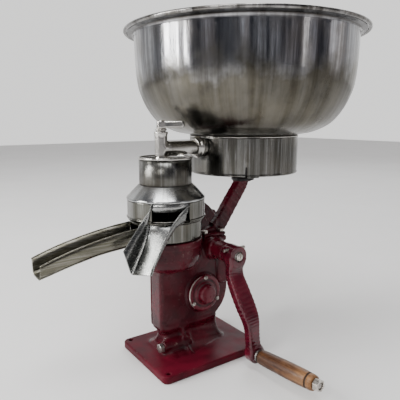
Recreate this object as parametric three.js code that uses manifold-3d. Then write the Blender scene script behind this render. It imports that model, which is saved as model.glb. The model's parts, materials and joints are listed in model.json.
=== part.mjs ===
// Hand-cranked table-top cream separator: a cast-iron gear frame on a bench plate, two tinned pans with
// spouts and a float chamber on the spindle axis, and a round supply can with a tap on a raised arm.
// Millimetres, +Z up. The origin is on the bench, under the spindle axis. +X is the crank side, +Y the can side.
import * as THREE from "three";
import { mergeVertices } from "three/addons/utils/BufferGeometryUtils.js";
import Module from "manifold-3d";

const wasm = await Module();
wasm.setup();

// ---- driving dimensions ----------------------------------------------------
const GAP = 0.3; // clearance between neighbouring pieces
const BASE = { x0: -58, x1: 75, y0: -49, y1: 123.5, t: 11.3, r: 9, hole: 3.2 };
const BODY_X0 = -13, BODY_X1 = 16.5; // main frame's sides
const WHEEL_Y = 52, WHEEL_Z = 92; // worm wheel shaft, parallel to X
const CRANK_Y = 71, CRANK_Z = 159.42; // crankshaft, parallel to X
const CUP_R = 51.8, CUP_TOP = 184; // bowl cup on top of the frame
const SPUR_M = 5 / 3, GEAR_T = 72, PINION_T = 12; // crank gear and pinion, 6 to 1
const WORM_STARTS = 2, WHEEL_T = 40, WHEEL_R = 43, WORM_R = 9; // worm drive, 20 to 1
const LEAD = (WORM_STARTS * 2 * Math.PI * WHEEL_R) / WHEEL_T;
const DRUM_R = 65, DRUM_X0 = -69, DRUM_X1 = -53; // gear case
const PIN_Y = 82.4, PIN_Z = 20.4; // crank pin at rest
const GRIP_A = new THREE.Vector3(112, PIN_Y, PIN_Z), GRIP_B = new THREE.Vector3(218, 88.4, 26.2); // grip axis
const SKIM_R = 50.7, SKIM_Z0 = 185.7; // lower (skim) pan
const CREAM_R = 54.5, CREAM_Z0 = 213.9, CREAM_Z1 = 241.2; // upper (cream) pan
const CHAMBER_R = 37.4, CHAMBER_Z0 = 260.5, CHAMBER_Z1 = 299.4; // float chamber
const CAN_X = -19, CAN_Y = 158, CAN_RIM_R = 188.5, CAN_RIM_Z = 484.3, CAN_R = 172.5; // supply can
const SKIRT_R = 87, SKIRT_Z0 = 267.1, SKIRT_Z1 = 324.8;
const TAP_X = 0.9, TAP_Y = -7, PIPE_Z = 310, LEVER_AZ = Math.PI / 4; // tap barrel axis, pipe height and lever direction

// ---- materials ----------------------------------------------------------------
const mat = (color, roughness, metalness) => new THREE.MeshStandardMaterial({ color, roughness, metalness });
const enamel = () => mat(0x5c0c1c, 0.25, 0.1);
const tin = () => mat(0xa9a7a0, 0.25, 0.95);
const steel = () => mat(0x8c8a86, 0.35, 0.95);
const bronze = () => mat(0xa97c42, 0.4, 0.9);
const wood = () => mat(0x8a5528, 0.6, 0);
const black = () => mat(0x171516, 0.5, 0.3);
const rubber = () => mat(0x1b1a19, 0.85, 0);

// ---- solids --------------------------------------------------------------------
function solid(geometry, matrix) {
  let g = geometry.clone();
  if (matrix) g.applyMatrix4(matrix);
  g.deleteAttribute("normal");
  g.deleteAttribute("uv");
  g = mergeVertices(g, 1e-4);
  const vertProperties = new Float32Array(g.attributes.position.array);
  const triVerts = [];
  const i = g.index.array;
  for (let k = 0; k < i.length; k += 3)
    if (i[k] !== i[k + 1] && i[k + 1] !== i[k + 2] && i[k] !== i[k + 2]) triVerts.push(i[k], i[k + 1], i[k + 2]);
  const make = (t) => new wasm.Manifold(new wasm.Mesh({ numProp: 3, vertProperties, triVerts: new Uint32Array(t) }));
  const s = make(triVerts);
  if (s.volume() >= 0) return s;
  for (let k = 0; k < triVerts.length; k += 3) [triVerts[k + 1], triVerts[k + 2]] = [triVerts[k + 2], triVerts[k + 1]];
  return make(triVerts);
}
const join = (...s) => s.reduce((a, b) => a.add(b));
const cut = (a, ...s) => s.reduce((r, b) => r.subtract(b), a);
const basis = (x, y, z, o) => new THREE.Matrix4().makeBasis(x, y, z).setPosition(o);
const V = (x, y, z) => new THREE.Vector3(x, y, z);
// section axes for a solid extruded along X, Y or Z
const ALONG_X = (x) => basis(V(0, 1, 0), V(0, 0, 1), V(1, 0, 0), V(x, 0, 0));
const ALONG_Y = (y) => basis(V(0, 0, 1), V(1, 0, 0), V(0, 1, 0), V(0, y, 0));
const ALONG_Z = (z) => basis(V(1, 0, 0), V(0, 1, 0), V(0, 0, 1), V(0, 0, z));

function shapeOf(points, holes = []) {
  const s = new THREE.Shape(points.map(([a, b]) => new THREE.Vector2(a, b)));
  for (const h of holes) s.holes.push(new THREE.Path(h.map(([a, b]) => new THREE.Vector2(a, b))));
  return s;
}
const prism = (points, frame, depth, holes) =>
  solid(new THREE.ExtrudeGeometry(shapeOf(points, holes), { depth, bevelEnabled: false, curveSegments: 8 }), frame);
const sides = (n) => (n > 8 ? Math.max(8, 2 * Math.round(n * 0.24)) : n);
const ring = (r, m, cx = 0, cy = 0, a0 = 0, n = sides(m)) =>
  Array.from({ length: n }, (_, k) => [cx + r * Math.cos(a0 + (k * 2 * Math.PI) / n), cy + r * Math.sin(a0 + (k * 2 * Math.PI) / n)]);
const cylX = (r, x0, x1, y, z, n = 24) => prism(ring(r, n, y, z), ALONG_X(x0), x1 - x0);
const cylY = (r, y0, y1, x, z, n = 24) => prism(ring(r, n, z, x), ALONG_Y(y0), y1 - y0);
const cylZ = (r, z0, z1, x, y, n = 24) => prism(ring(r, n, x, y), ALONG_Z(z0), z1 - z0);
const box = (x0, x1, y0, y1, z0, z1) =>
  solid(new THREE.BoxGeometry(x1 - x0, y1 - y0, z1 - z0), new THREE.Matrix4().makeTranslation((x0 + x1) / 2, (y0 + y1) / 2, (z0 + z1) / 2));
function roundRect(x0, x1, y0, y1, r, n = 4) {
  const p = [];
  for (const [cx, cy, a] of [[x1 - r, y1 - r, 0], [x0 + r, y1 - r, 90], [x0 + r, y0 + r, 180], [x1 - r, y0 + r, 270]])
    for (let k = 0; k <= n; k++) {
      const t = ((a + (90 * k) / n) * Math.PI) / 180;
      p.push([cx + r * Math.cos(t), cy + r * Math.sin(t)]);
    }
  return p;
}
// A profile of [radius, height] pairs turned about the vertical line through x, y.
const lathe = (profile, n = 32, x = 0, y = 0, turn) =>
  solid(
    new THREE.LatheGeometry(profile.map(([r, h]) => new THREE.Vector2(r, h)), sides(n)),
    turn || new THREE.Matrix4().makeRotationX(Math.PI / 2).premultiply(new THREE.Matrix4().makeTranslation(x, y, 0)),
  );
// The same about an axis from point a towards point b.
function turned(profile, a, b, n = 20) {
  const z = b.clone().sub(a).normalize();
  const q = new THREE.Quaternion().setFromUnitVectors(V(0, 1, 0), z);
  return lathe(profile, n, 0, 0, new THREE.Matrix4().compose(a, q, V(1, 1, 1)));
}
// Rings of equally many 3-D points, skinned into one closed body.
function loft(rings) {
  const n = rings[0].length, pos = [], idx = [];
  rings.forEach((r) => r.forEach((p) => pos.push(...p)));
  for (let j = 0; j + 1 < rings.length; j++)
    for (let k = 0; k < n; k++) {
      const a = j * n + k, b = j * n + ((k + 1) % n), c = a + n, d = b + n;
      idx.push(a, b, d, a, d, c);
    }
  for (const [j, flip] of [[0, true], [rings.length - 1, false]]) {
    const r = rings[j];
    // the cap is triangulated in the plane that shows it largest
    const area = [0, 0, 0];
    r.forEach((p, k) => {
      const q = r[(k + 1) % n];
      area[0] += p[1] * q[2] - p[2] * q[1];
      area[1] += p[2] * q[0] - p[0] * q[2];
      area[2] += p[0] * q[1] - p[1] * q[0];
    });
    const m = [0, 1, 2].sort((a, b) => Math.abs(area[b]) - Math.abs(area[a]))[0];
    const [u, v] = [[1, 2], [2, 0], [0, 1]][m];
    const flat = r.map((p) => new THREE.Vector2(p[u], p[v]));
    const whole = THREE.ShapeUtils.area(flat);
    for (const [a, b, c] of THREE.ShapeUtils.triangulateShape(flat, [])) {
      // each cap triangle turns the same way as its ring, or the other way round on the first cap
      const same = THREE.ShapeUtils.area([flat[a], flat[b], flat[c]]) * whole > 0;
      if (same !== flip) idx.push(j * n + a, j * n + b, j * n + c);
      else idx.push(j * n + a, j * n + c, j * n + b);
    }
  }
  const g = new THREE.BufferGeometry();
  g.setAttribute("position", new THREE.Float32BufferAttribute(pos, 3));
  g.setIndex(idx);
  return solid(g);
}
const root = new THREE.Group();
function add(name, s, material, group = root) {
  const m = s.getMesh(), g = new THREE.BufferGeometry(), n = m.numProp, p = new Float32Array(m.numVert * 3);
  for (let k = 0; k < m.numVert; k++) p.set(m.vertProperties.subarray(k * n, k * n + 3), k * 3);
  g.setAttribute("position", new THREE.BufferAttribute(p, 3));
  g.setIndex(new THREE.BufferAttribute(new Uint32Array(m.triVerts), 1));
  g.computeVertexNormals();
  const mesh = new THREE.Mesh(g, material);
  mesh.name = name;
  group.add(mesh);
  return mesh;
}
const hex = (r, a0 = 0) => ring(r, 6, 0, 0, a0);
// A screw with a slotted or hex head lying against a face: head from a towards b, shank behind a.
function screw(a, b, headR, headT, shankR, shankL) {
  return turned([[0, -shankL], [shankR, -shankL], [shankR, 0], [headR, 0], [headR, headT * 0.6], [headR * 0.8, headT], [0, headT]], a, b, 12);
}
function hexScrew(a, b, headR, headT, shankR, shankL) {
  const z = b.clone().sub(a).normalize(), q = new THREE.Quaternion().setFromUnitVectors(V(0, 0, 1), z);
  const m = new THREE.Matrix4().compose(a, q, V(1, 1, 1));
  const head = solid(new THREE.ExtrudeGeometry(shapeOf(hex(headR)), { depth: headT, bevelEnabled: false }), m);
  return join(head, turned([[0, -shankL], [shankR, -shankL], [shankR, 0.2], [0, 0.2]], a, b, 12));
}

// ---- main frame: bench plate, flared foot, gear housing and bowl cup, one casting ----------------
const baseHoles = [[66.5, -38.7], [66.5, 113.2], [-49.5, 113.2], [-49.5, -38.7]];
const plate = prism(roundRect(BASE.x0, BASE.x1, BASE.y0, BASE.y1, BASE.r), ALONG_Z(0), BASE.t);
const footRings = [];
{
  const low = { x0: -34, x1: 40, y0: -17.5, y1: 92 }, top = { x0: -13, x1: 14, y0: -13, y1: 84 };
  for (const [t, z] of [[0, 10.5], [0.34, 13.2], [0.62, 18], [0.84, 26], [0.96, 36], [1, 46]]) {
    const m = (a, b) => a + (b - a) * t;
    // the flare is widest round the spindle and narrows towards the can side
    footRings.push(
      roundRect(m(low.x0, top.x0), m(low.x1, top.x1), m(low.y0, top.y0), m(low.y1, top.y1), m(14, 7), 3).map(([x, y]) => {
        const back = Math.max(0, Math.min(1, (y - 18) / 60));
        return [x * (1 - 0.48 * back * (1 - t)), y, z];
      }),
    );
  }
}
const housingOutline = [
  [-21, 50], [-20, 45.5], [-15.5, 42], [20, 42], [30, 43.6], [44, 43], [60, 43.6], [73, 47.6], [84, 54.5], [92, 63.5], [97, 73], [100, 84], [100.8, 92],
  [100.6, 152], [98, 162], [92, 168], [84, 172.6], [58, 172.6], [52, 166], [44, 150], [36, 140], [-16, 140], [-20, 135], [-21, 128],
];
const housing = prism(housingOutline, ALONG_X(BODY_X0), BODY_X1 - BODY_X0);
const cupOuter = lathe([[0, 137], [34, 137.5], [42, 142], [48.5, 150], [50.6, 158], [50.8, 175.2], [CUP_R, 176], [CUP_R, CUP_TOP], [0, CUP_TOP]], 48);
const crankBoss = join(cylX(14, BODY_X1 - 2, 53.6, CRANK_Y, CRANK_Z, 32), cylX(17, BODY_X1 - 2, 30, CRANK_Y, CRANK_Z, 32));
const coverPad = cylX(30, BODY_X1 - 1, 18.5, WHEEL_Y, WHEEL_Z, 40);
const column = prism(roundRect(78, 98, 100, 158, 7, 3), ALONG_X(BODY_X1 - 1), 5);
const drainBoss = cylY(8, -20, 26, 19, 23, 16);
const rib = prism([[13, 12], [42, 12], [22, 24], [16.4, 44], [13, 44]].map(([x, z]) => [z, x]), ALONG_Y(13), 5);
const armPad = box(BODY_X0, 16.5, 58, 98, 168, 174);
let frame = join(plate, loft(footRings), housing, cupOuter, crankBoss, coverPad, column, drainBoss, rib, armPad);
frame = cut(
  frame,
  ...baseHoles.map(([x, y]) => cylZ(BASE.hole, -1, 20, x, y, 12)),
  // cup interior and neck bearing seat
  lathe([[0, 147], [34, 147], [40, 150], [46.4, 158], [46.4, 190], [0, 190]], 40),
  cylZ(13.2, 124, 150, 0, 0, 24),
  // worm tunnel, wheel chamber and sump, all open to the gear-case side
  box(BODY_X0 - 1, 12, -13, 18, 52, 118),
  cylZ(8.6, 110, 130, 0, 0, 20),
  cylX(45.6, BODY_X0 - 1, 12, WHEEL_Y, WHEEL_Z, 48),
  box(BODY_X0 + 3, 10, 16, 76, 18, 60),
  box(BODY_X0 + 3, 22, 15.5, 24, 18, 28),
  // footstep bearing seat
  cylZ(8.6, 26, 60, 0, 0, 20),
  // bearing cover opening and bearing bores
  cylX(22.4, 8, 20, WHEEL_Y, WHEEL_Z, 32),
  cylX(10.6, BODY_X0 - 1, 60, CRANK_Y, CRANK_Z, 24),
  // drain hole into the sump
  cylY(4.3, -22, 18, 19, 23, 12),
  // screw holes
  ...[90, 210, 330].map((d) => cylX(2.3, 10, 20, WHEEL_Y + 24.6 * Math.cos((d * Math.PI) / 180), WHEEL_Z + 24.6 * Math.sin((d * Math.PI) / 180), 10)),
  cylZ(3.3, 160, 176, 8, 92, 10),
  cylZ(3.3, 160, 176, 8, 62, 10),
  // hollow underside of the bench plate
  prism(roundRect(-26, 30, 20, 82, 8, 2), ALONG_Z(-1), 9),
);
add("main_frame", frame, enamel());

// ---- gear case on the far side -------------------------------------------------
const pear = (r, lobe) => join(
  cylX(r, DRUM_X0, DRUM_X1, CRANK_Y, CRANK_Z, 56),
  cylX(lobe, DRUM_X0, DRUM_X1, WHEEL_Y, WHEEL_Z, 24),
  prism([[WHEEL_Y - lobe, WHEEL_Z], [WHEEL_Y + lobe, WHEEL_Z - 2], [WHEEL_Y + lobe + 22, WHEEL_Z + 24], [WHEEL_Y - lobe - 6, WHEEL_Z + 24]], ALONG_X(DRUM_X0), DRUM_X1 - DRUM_X0),
);
const sidePlate = prism(
  [[-20, 50], [-19, 45.8], [-15, 42.5], [30, 44], [44, 43.4], [60, 44], [73, 48], [84, 55], [92, 64], [97, 73.5], [99.6, 84], [100.3, 92], [100.2, 152], [97, 162], [91, 167], [84, 170], [60, 170], [55, 163], [49.5, 148], [36, 136.2], [-16, 136.5], [-19.5, 133], [-20, 127]],
  ALONG_X(BODY_X0 - GAP - 4.2), 4.2,
);
const SP0 = BODY_X0 - GAP - 4.2;
let gearCase = join(
  pear(DRUM_R, 17.5),
  sidePlate,
  cylX(15, DRUM_X1 - 1, SP0 + 1, CRANK_Y, CRANK_Z, 28),
  cylX(14, DRUM_X1 - 1, SP0 + 1, WHEEL_Y, WHEEL_Z, 28),
  prism([[WHEEL_Y - 1, WHEEL_Z + 8], [WHEEL_Y + 7, WHEEL_Z + 6], [CRANK_Y + 5, CRANK_Z - 8], [CRANK_Y - 3, CRANK_Z - 6]], ALONG_X(DRUM_X1 - 1), SP0 - DRUM_X1 + 2),
);
gearCase = cut(
  gearCase,
  cylX(62.3, DRUM_X0 - 1, DRUM_X1 - 3.2, CRANK_Y, CRANK_Z, 56),
  cylX(13, DRUM_X0 - 1, DRUM_X1 - 3.2, WHEEL_Y, WHEEL_Z, 24),
  prism([[WHEEL_Y - 13, WHEEL_Z], [WHEEL_Y + 13, WHEEL_Z], [WHEEL_Y + 30, WHEEL_Z + 24], [WHEEL_Y - 13, WHEEL_Z + 24]], ALONG_X(DRUM_X0 - 1), DRUM_X1 - DRUM_X0 - 2.2),
  cylX(10.6, DRUM_X1 - 5, 0, CRANK_Y, CRANK_Z, 24),
  cylX(9.6, DRUM_X1 - 5, 0, WHEEL_Y, WHEEL_Z, 24),
);
const lugDegrees = [75, 165, 345, 30];
// screw lugs inside the drum's rim would foul the gear, so they stand outside it
const lugAt = (d) => [CRANK_Y + (DRUM_R + 2.2) * Math.cos((d * Math.PI) / 180), CRANK_Z + (DRUM_R + 2.2) * Math.sin((d * Math.PI) / 180)];
gearCase = join(gearCase, ...lugDegrees.map((d) => cylX(5, DRUM_X0, DRUM_X0 + 9, ...lugAt(d), 14)));
gearCase = cut(gearCase, cylX(62.3, DRUM_X0 - 1, DRUM_X1 - 3.2, CRANK_Y, CRANK_Z, 56), ...lugDegrees.map((d) => cylX(2, DRUM_X0 - 1, DRUM_X0 + 7, ...lugAt(d), 8)));
add("gear_case", gearCase, enamel());

let caseCover = join(
  cylX(DRUM_R, DRUM_X0 - GAP - 3.4, DRUM_X0 - GAP, CRANK_Y, CRANK_Z, 56),
  cylX(17.5, DRUM_X0 - GAP - 3.4, DRUM_X0 - GAP, WHEEL_Y, WHEEL_Z, 24),
  prism([[WHEEL_Y - 17.5, WHEEL_Z], [WHEEL_Y + 17.5, WHEEL_Z - 2], [WHEEL_Y + 39.5, WHEEL_Z + 24], [WHEEL_Y - 23.5, WHEEL_Z + 24]], ALONG_X(DRUM_X0 - GAP - 3.4), 3.4),
  cylX(22, DRUM_X0 - GAP - 5.4, DRUM_X0 - GAP - 3, CRANK_Y, CRANK_Z, 32),
  ...lugDegrees.map((d) => cylX(5, DRUM_X0 - GAP - 3.4, DRUM_X0 - GAP, ...lugAt(d), 14)),
);
caseCover = cut(caseCover, ...lugDegrees.map((d) => cylX(2.1, DRUM_X0 - 8, DRUM_X0 + 1, ...lugAt(d), 8)));
add("gear_case_cover", caseCover, enamel());
lugDegrees.forEach((d, k) => {
  const [y, z] = lugAt(d);
  add("case_cover_screw_" + (k + 1), screw(V(DRUM_X0 - GAP - 3.4 - GAP, y, z), V(-200, y, z), 3.6, 2.2, 1.7, 8), steel());
});

// ---- bearing cover with its three screws --------------------------------------
const CX = 18.5 + GAP; // back face of the cover
let cover = turned(
  [[0, -4], [21.6, -4], [21.6, 0], [28, 0], [28, 4.2], [26.6, 5.2], [16, 5.2], [14.5, 7], [14, 13.5], [12.4, 15.6], [0, 16]],
  V(CX, WHEEL_Y, WHEEL_Z), V(100, WHEEL_Y, WHEEL_Z), 40,
);
const coverScrews = [90, 210, 330].map((d) => [WHEEL_Y + 24.6 * Math.cos((d * Math.PI) / 180), WHEEL_Z + 24.6 * Math.sin((d * Math.PI) / 180)]);
cover = cut(cover, cylX(9.6, CX - 5, CX + 12, WHEEL_Y, WHEEL_Z, 24), ...coverScrews.map(([y, z]) => cylX(2.1, CX - 5, CX + 10, y, z, 10)));
add("bearing_cover", cover, enamel());
coverScrews.forEach(([y, z], k) =>
  add("bearing_cover_screw_" + (k + 1), screw(V(CX + 5.2 + GAP, y, z), V(200, y, z), 3.1, 2.4, 1.7, 12), steel()));

add("drain_plug", hexScrew(V(19, -20 - GAP, 23), V(19, -200, 23), 7, 6.5, 3.9, 12), steel());

// ---- bearings -----------------------------------------------------------------------
const tube = (ro, ri, z0, z1, n = 20) => lathe([[ri, z0], [ro, z0], [ro, z1], [ri, z1], [ri, z0]], n);
const tubeX = (ro, ri, x0, x1, y, z, n = 20) => turned([[ri, 0], [ro, 0], [ro, x1 - x0], [ri, x1 - x0], [ri, 0]], V(x0, y, z), V(x1 + 50, y, z), n);
add("footstep_bearing", lathe([[0, 26.3], [8, 26.3], [8, 46], [5.4, 46], [5.4, 31], [0, 31]], 20), bronze());
add("neck_bearing_ring", tube(12.6, 9.8, 132, 146), rubber());
add("neck_bearing_bush", lathe([[5.4, 130.3], [8.3, 130.3], [9.5, 131.5], [9.5, 148], [5.4, 148], [5.4, 130.3]], 20), bronze());
add("crank_bush_outer", tubeX(10, 7.4, 30, 53.6, CRANK_Y, CRANK_Z), bronze());
add("crank_bush_inner", tubeX(10, 7.4, -50, -28, CRANK_Y, CRANK_Z), bronze());
add("wheel_bush_outer", tubeX(9, 6.4, 15.2, 30.2, WHEEL_Y, WHEEL_Z), bronze());
add("wheel_bush_inner", tubeX(9, 6.4, -50, -20, WHEEL_Y, WHEEL_Z), bronze());

// ---- crank: shaft, gear, arm, pin and wooden grip ------------------------------
add("crankshaft", cut(
  turned([[0, 0], [7, 0], [7, 143.6], [6, 144.6], [0, 144.6]], V(-65.4, CRANK_Y, CRANK_Z), V(200, CRANK_Y, CRANK_Z), 24),
  // flat for the taper pin that crosses the hub, and the end screw's hole
  box(60, 74, 60, 82, CRANK_Z + 5.4, CRANK_Z + 9),
  cylX(2.6, 70, 90, CRANK_Y, CRANK_Z, 12),
), steel());
function gearOutline(teeth, m, thin, add_ = 1, ded = 1.2, phase = 0) {
  const r = (teeth * m) / 2, p = (2 * Math.PI) / teeth, pts = [];
  for (let k = 0; k < teeth; k++) {
    const a = phase + k * p, half = p / 4 - thin / (2 * r), slope = (m * 0.364) / r;
    pts.push(
      [r - ded * m, a - half - ded * slope], [r + add_ * m, a - half + add_ * slope],
      [r + add_ * m, a + half - add_ * slope], [r - ded * m, a + half + ded * slope],
    );
  }
  return pts.map(([q, a]) => [q * Math.cos(a), q * Math.sin(a)]);
}
const toPinion = Math.atan2(WHEEL_Z - CRANK_Z, WHEEL_Y - CRANK_Y);
const at = (pts, y, z) => pts.map(([a, b]) => [a + y, b + z]);
let crankGear = prism(at(gearOutline(GEAR_T, SPUR_M, 0.28, 0.95, 1.2, toPinion), CRANK_Y, CRANK_Z), ALONG_X(-64), 6.5);
crankGear = cut(
  join(crankGear, cylX(13, -67, -56.6, CRANK_Y, CRANK_Z, 24)),
  ...[0, 1, 2, 3, 4].map((k) => cylX(13, -66, -50, CRANK_Y + 34 * Math.cos((k * 2 * Math.PI) / 5), CRANK_Z + 34 * Math.sin((k * 2 * Math.PI) / 5), 20)),
  cylX(7.3, -70, -40, CRANK_Y, CRANK_Z, 24),
);
add("crank_gear", crankGear, mat(0x4a4744, 0.55, 0.8));

// crank arm: a hub, a neck, an outward slant and a straight lower end with the pin eye
const lean = Math.atan2(PIN_Y - CRANK_Y, CRANK_Z - PIN_Z);
const cy = (z) => CRANK_Y + (CRANK_Z - z) * Math.tan(lean);
const armSection = (x, z, w, t, tilt, dy) => {
  // a rounded bar section, w wide along Y and t thick, square to the arm's run
  const c = Math.cos(tilt), s = Math.sin(tilt), y = cy(z) + dy;
  return roundRect(-w / 2, w / 2, -t / 2, t / 2, Math.min(t, w) * 0.32, 2).map(([a, b]) => [x + b * c, y + a, z + b * s]);
};
const arm = loft([
  armSection(71, 152, 24, 15, 0, -1), armSection(71.8, 138, 24, 13.5, 0.1, -4), armSection(74, 127, 24.5, 14, 0.35, -4.5), armSection(79.8, 113, 26.5, 15, 0.55, -3.5),
  armSection(90.8, 93, 27, 15, 0.55, -3), armSection(99.5, 78, 24.5, 15, 0.42, -3), armSection(103, 68, 21.5, 14.5, 0.15, -3), armSection(103.8, 56, 19, 14, 0, -3),
  armSection(103.8, 38, 19, 14, 0, -2.5), armSection(103.6, 20.4, 20, 14, 0, -0.5),
]);
let crankArm = join(
  turned([[0, 0], [13.5, 0], [15, 1.5], [15, 23], [13.8, 24.4], [0, 24.4]], V(55, CRANK_Y, CRANK_Z), V(100, CRANK_Y, CRANK_Z), 32),
  arm,
  turned([[0, 0], [12.2, 0], [13.2, 1.2], [13.2, 13.8], [12, 15], [0, 15]], V(96, PIN_Y, PIN_Z), V(200, PIN_Y, PIN_Z), 24),
);
crankArm = cut(crankArm, cylX(7.4, 50, 90, CRANK_Y, CRANK_Z, 24), cylX(5.2, 90, 130, PIN_Y, PIN_Z, 16), cylY(2.9, 50, 95, 67, CRANK_Z + 8.6, 12));
add("crank_arm", crankArm, enamel());
add("crank_taper_pin", turned([[0, 0], [2.3, 0], [2.6, 38], [2.6, 38], [0, 38]], V(67, 53, CRANK_Z + 8.6), V(67, 200, CRANK_Z + 8.6), 12), steel());
add("crank_hub_screw", screw(V(79.2 + 0.5, CRANK_Y, CRANK_Z), V(200, CRANK_Y, CRANK_Z), 5.6, 3.4, 2.3, 8), steel());

const gdir = GRIP_B.clone().sub(GRIP_A).normalize(), gripL = GRIP_B.distanceTo(GRIP_A);
const gp = (t) => GRIP_A.clone().addScaledVector(gdir, t);
// grip spindle: riveted through the arm's eye, collar against the arm, end threaded for the nut
add("grip_spindle", join(
  turned([[0, 0], [4.6, 0], [4.6, 16.8], [0, 16.8]], V(96.4, PIN_Y, PIN_Z), V(200, PIN_Y, PIN_Z), 16),
  turned([[0, 0], [8.5, 0], [8.5, 2.6], [4.6, 3.2], [4.6, gripL - 1], [3.8, gripL], [0, gripL]], GRIP_A, GRIP_B, 16),
), steel());
add("grip_washer", turned([[5, 3.5], [9.8, 3.5], [9.8, 5.2], [5, 5.2], [5, 3.5]], GRIP_A, GRIP_B, 20), mat(0x2a2522, 0.6, 0.7));
add("wooden_grip", turned(
  [[5, 5.6], [9.6, 5.6], [10.4, 8], [11, 30], [11.3, 60], [11, 82], [10.6, 88.5], [9.8, 89.3], [9.8, 90.3], [10.5, 91.1], [10.2, 95], [8.8, 99.2], [5, 99.2], [5, 5.6]],
  GRIP_A, GRIP_B, 24,
), wood());
{
  const q = new THREE.Quaternion().setFromUnitVectors(V(0, 0, 1), gdir);
  const m = new THREE.Matrix4().compose(gp(99.6), q, V(1, 1, 1));
  const nut = solid(new THREE.ExtrudeGeometry(shapeOf(hex(8, 0.3)), { depth: 8.5, bevelEnabled: false }), m);
  add("grip_end_nut", cut(nut, turned([[0, 90], [5, 90], [5, 120], [0, 120]], GRIP_A, GRIP_B, 16)), steel());
}

// ---- worm wheel shaft, pinion, worm wheel ----------------------------------------
add("wheel_shaft", turned([[0, 0], [6, 0], [6, 56.5], [9.4, 57.5], [9.4, 60], [6, 61], [6, 94], [5, 95], [0, 95]], V(-65.8, WHEEL_Y, WHEEL_Z), V(200, WHEEL_Y, WHEEL_Z), 20), steel());
const pinionPhase = toPinion + Math.PI + Math.PI / PINION_T;
add("drive_pinion", cut(
  prism(at(gearOutline(PINION_T, SPUR_M, 0.28, 0.95, 1.2, pinionPhase), WHEEL_Y, WHEEL_Z), ALONG_X(-65), 8.4),
  cylX(6.5, -70, -40, WHEEL_Y, WHEEL_Z, 20),
), steel());
{
  // helical teeth laid over at the worm's lead angle
  const half = 4.5, twist = (half * (LEAD / (2 * Math.PI * WORM_R))) / WHEEL_R;
  const o = (sign) => gearOutline(WHEEL_T, (2 * WHEEL_R) / WHEEL_T, 0.5, 0.85, 1.1, Math.PI + sign * twist);
  const rings = [[-half, -1], [half, 1]].map(([x, s]) => o(-s).map(([a, b]) => [x, a + WHEEL_Y, b + WHEEL_Z]));
  let w = loft(rings);
  w = cut(join(w, cylX(13, -4.4, 11, WHEEL_Y, WHEEL_Z, 24)),
    ...[0, 1, 2, 3].map((k) => cylX(9, -10, 10, WHEEL_Y + 26 * Math.cos((k * Math.PI) / 2 + 0.4), WHEEL_Z + 26 * Math.sin((k * Math.PI) / 2 + 0.4), 14)),
    cylX(6.5, -20, 20, WHEEL_Y, WHEEL_Z, 20));
  add("worm_wheel", w, bronze());
}

// ---- vertical worm spindle -----------------------------------------------------
const WORM_PHASE = Math.PI / 2 + Math.PI / WORM_STARTS;
{
  const m = (2 * WHEEL_R) / WHEEL_T, L = 27, z0 = WHEEL_Z - L / 2, steps = 24;
  const section = [];
  for (let k = 0; k < WORM_STARTS; k++)
    for (const [s, r] of [[-0.36, WORM_R - 1.15 * m], [-0.2, WORM_R - 0.1], [-0.11, WORM_R + 0.85 * m], [0.11, WORM_R + 0.85 * m], [0.2, WORM_R - 0.1], [0.36, WORM_R - 1.15 * m]])
      section.push([r, ((k + s) * 2 * Math.PI) / WORM_STARTS]);
  const rings = [];
  for (let j = 0; j <= steps; j++) {
    const z = z0 + (L * j) / steps, turn = (-2 * Math.PI * (z - WHEEL_Z)) / LEAD + WORM_PHASE;
    rings.push(section.map(([r, a]) => [r * Math.cos(a + turn), r * Math.sin(a + turn), z]));
  }
  add("worm_spindle", join(
    loft(rings),
    lathe([[0, 31.4], [3, 31.4], [5, 33], [5, 70], [7, 72], [7, 112], [5, 114], [5, 150], [4.6, 151], [3.6, 161], [0, 161]], 20),
  ), steel());
}

// ---- separator bowl -----------------------------------------------------------------
add("bowl_base", lathe([[0, 163.4], [4.3, 163.4], [5.4, 152], [12, 150.6], [36, 151], [41, 156], [41, 175], [38, 175], [38, 158], [34, 156], [7.5, 158], [6.6, 166], [5.6, 168], [5.6, 238.6], [3.6, 238.6], [3.6, 172], [0, 170]], 32), steel());
add("bowl_seal_ring", lathe([[38.4, 175.4], [40.8, 175.4], [40.8, 177.2], [38.4, 177.2], [38.4, 175.4]], 32), rubber());
add("bowl_distributor", lathe([[6.9, 168.6], [11.4, 161.5], [32, 157.9], [32, 159], [12, 164], [12, 196], [6.1, 202], [6.1, 170], [6.9, 168.6]], 24), tin());
for (let k = 0; k < 5; k++) {
  const z = 162 + 2.6 * k;
  add("bowl_disc_" + (k + 1), lathe([[12.6, z + 20], [34.5, z], [35.4, z], [35.4, z + 0.6], [13.2, z + 21.1], [12.6, z + 21.1], [12.6, z + 20]], 24), tin());
}
let hood = lathe([[41, 177.6], [41, 180], [18, 201.5], [17, 206], [17, 226], [12.4, 230], [12.4, 234], [6.2, 234], [6.2, 231], [10.2, 230.6], [14.6, 225], [14.6, 206], [16, 200], [37.4, 180], [38.2, 177.6], [41, 177.6]], 32);
hood = cut(hood, cylX(1.6, -20, 20, 0, 209, 10), cylY(1.1, -20, 0, 0, 228.5, 8));
add("bowl_hood", hood, steel());
add("bowl_top_disc", lathe([[12.6, 196.4], [34.5, 176], [36, 176], [36, 176.8], [13.4, 197.8], [13.4, 224], [12.6, 224], [12.6, 196.4]], 24), tin());
add("bowl_nut", cut(prism(ring(10.5, 6), ALONG_Z(234.4), 4.6), cylZ(6, 230, 245, 0, 0, 20)), bronze());

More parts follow.
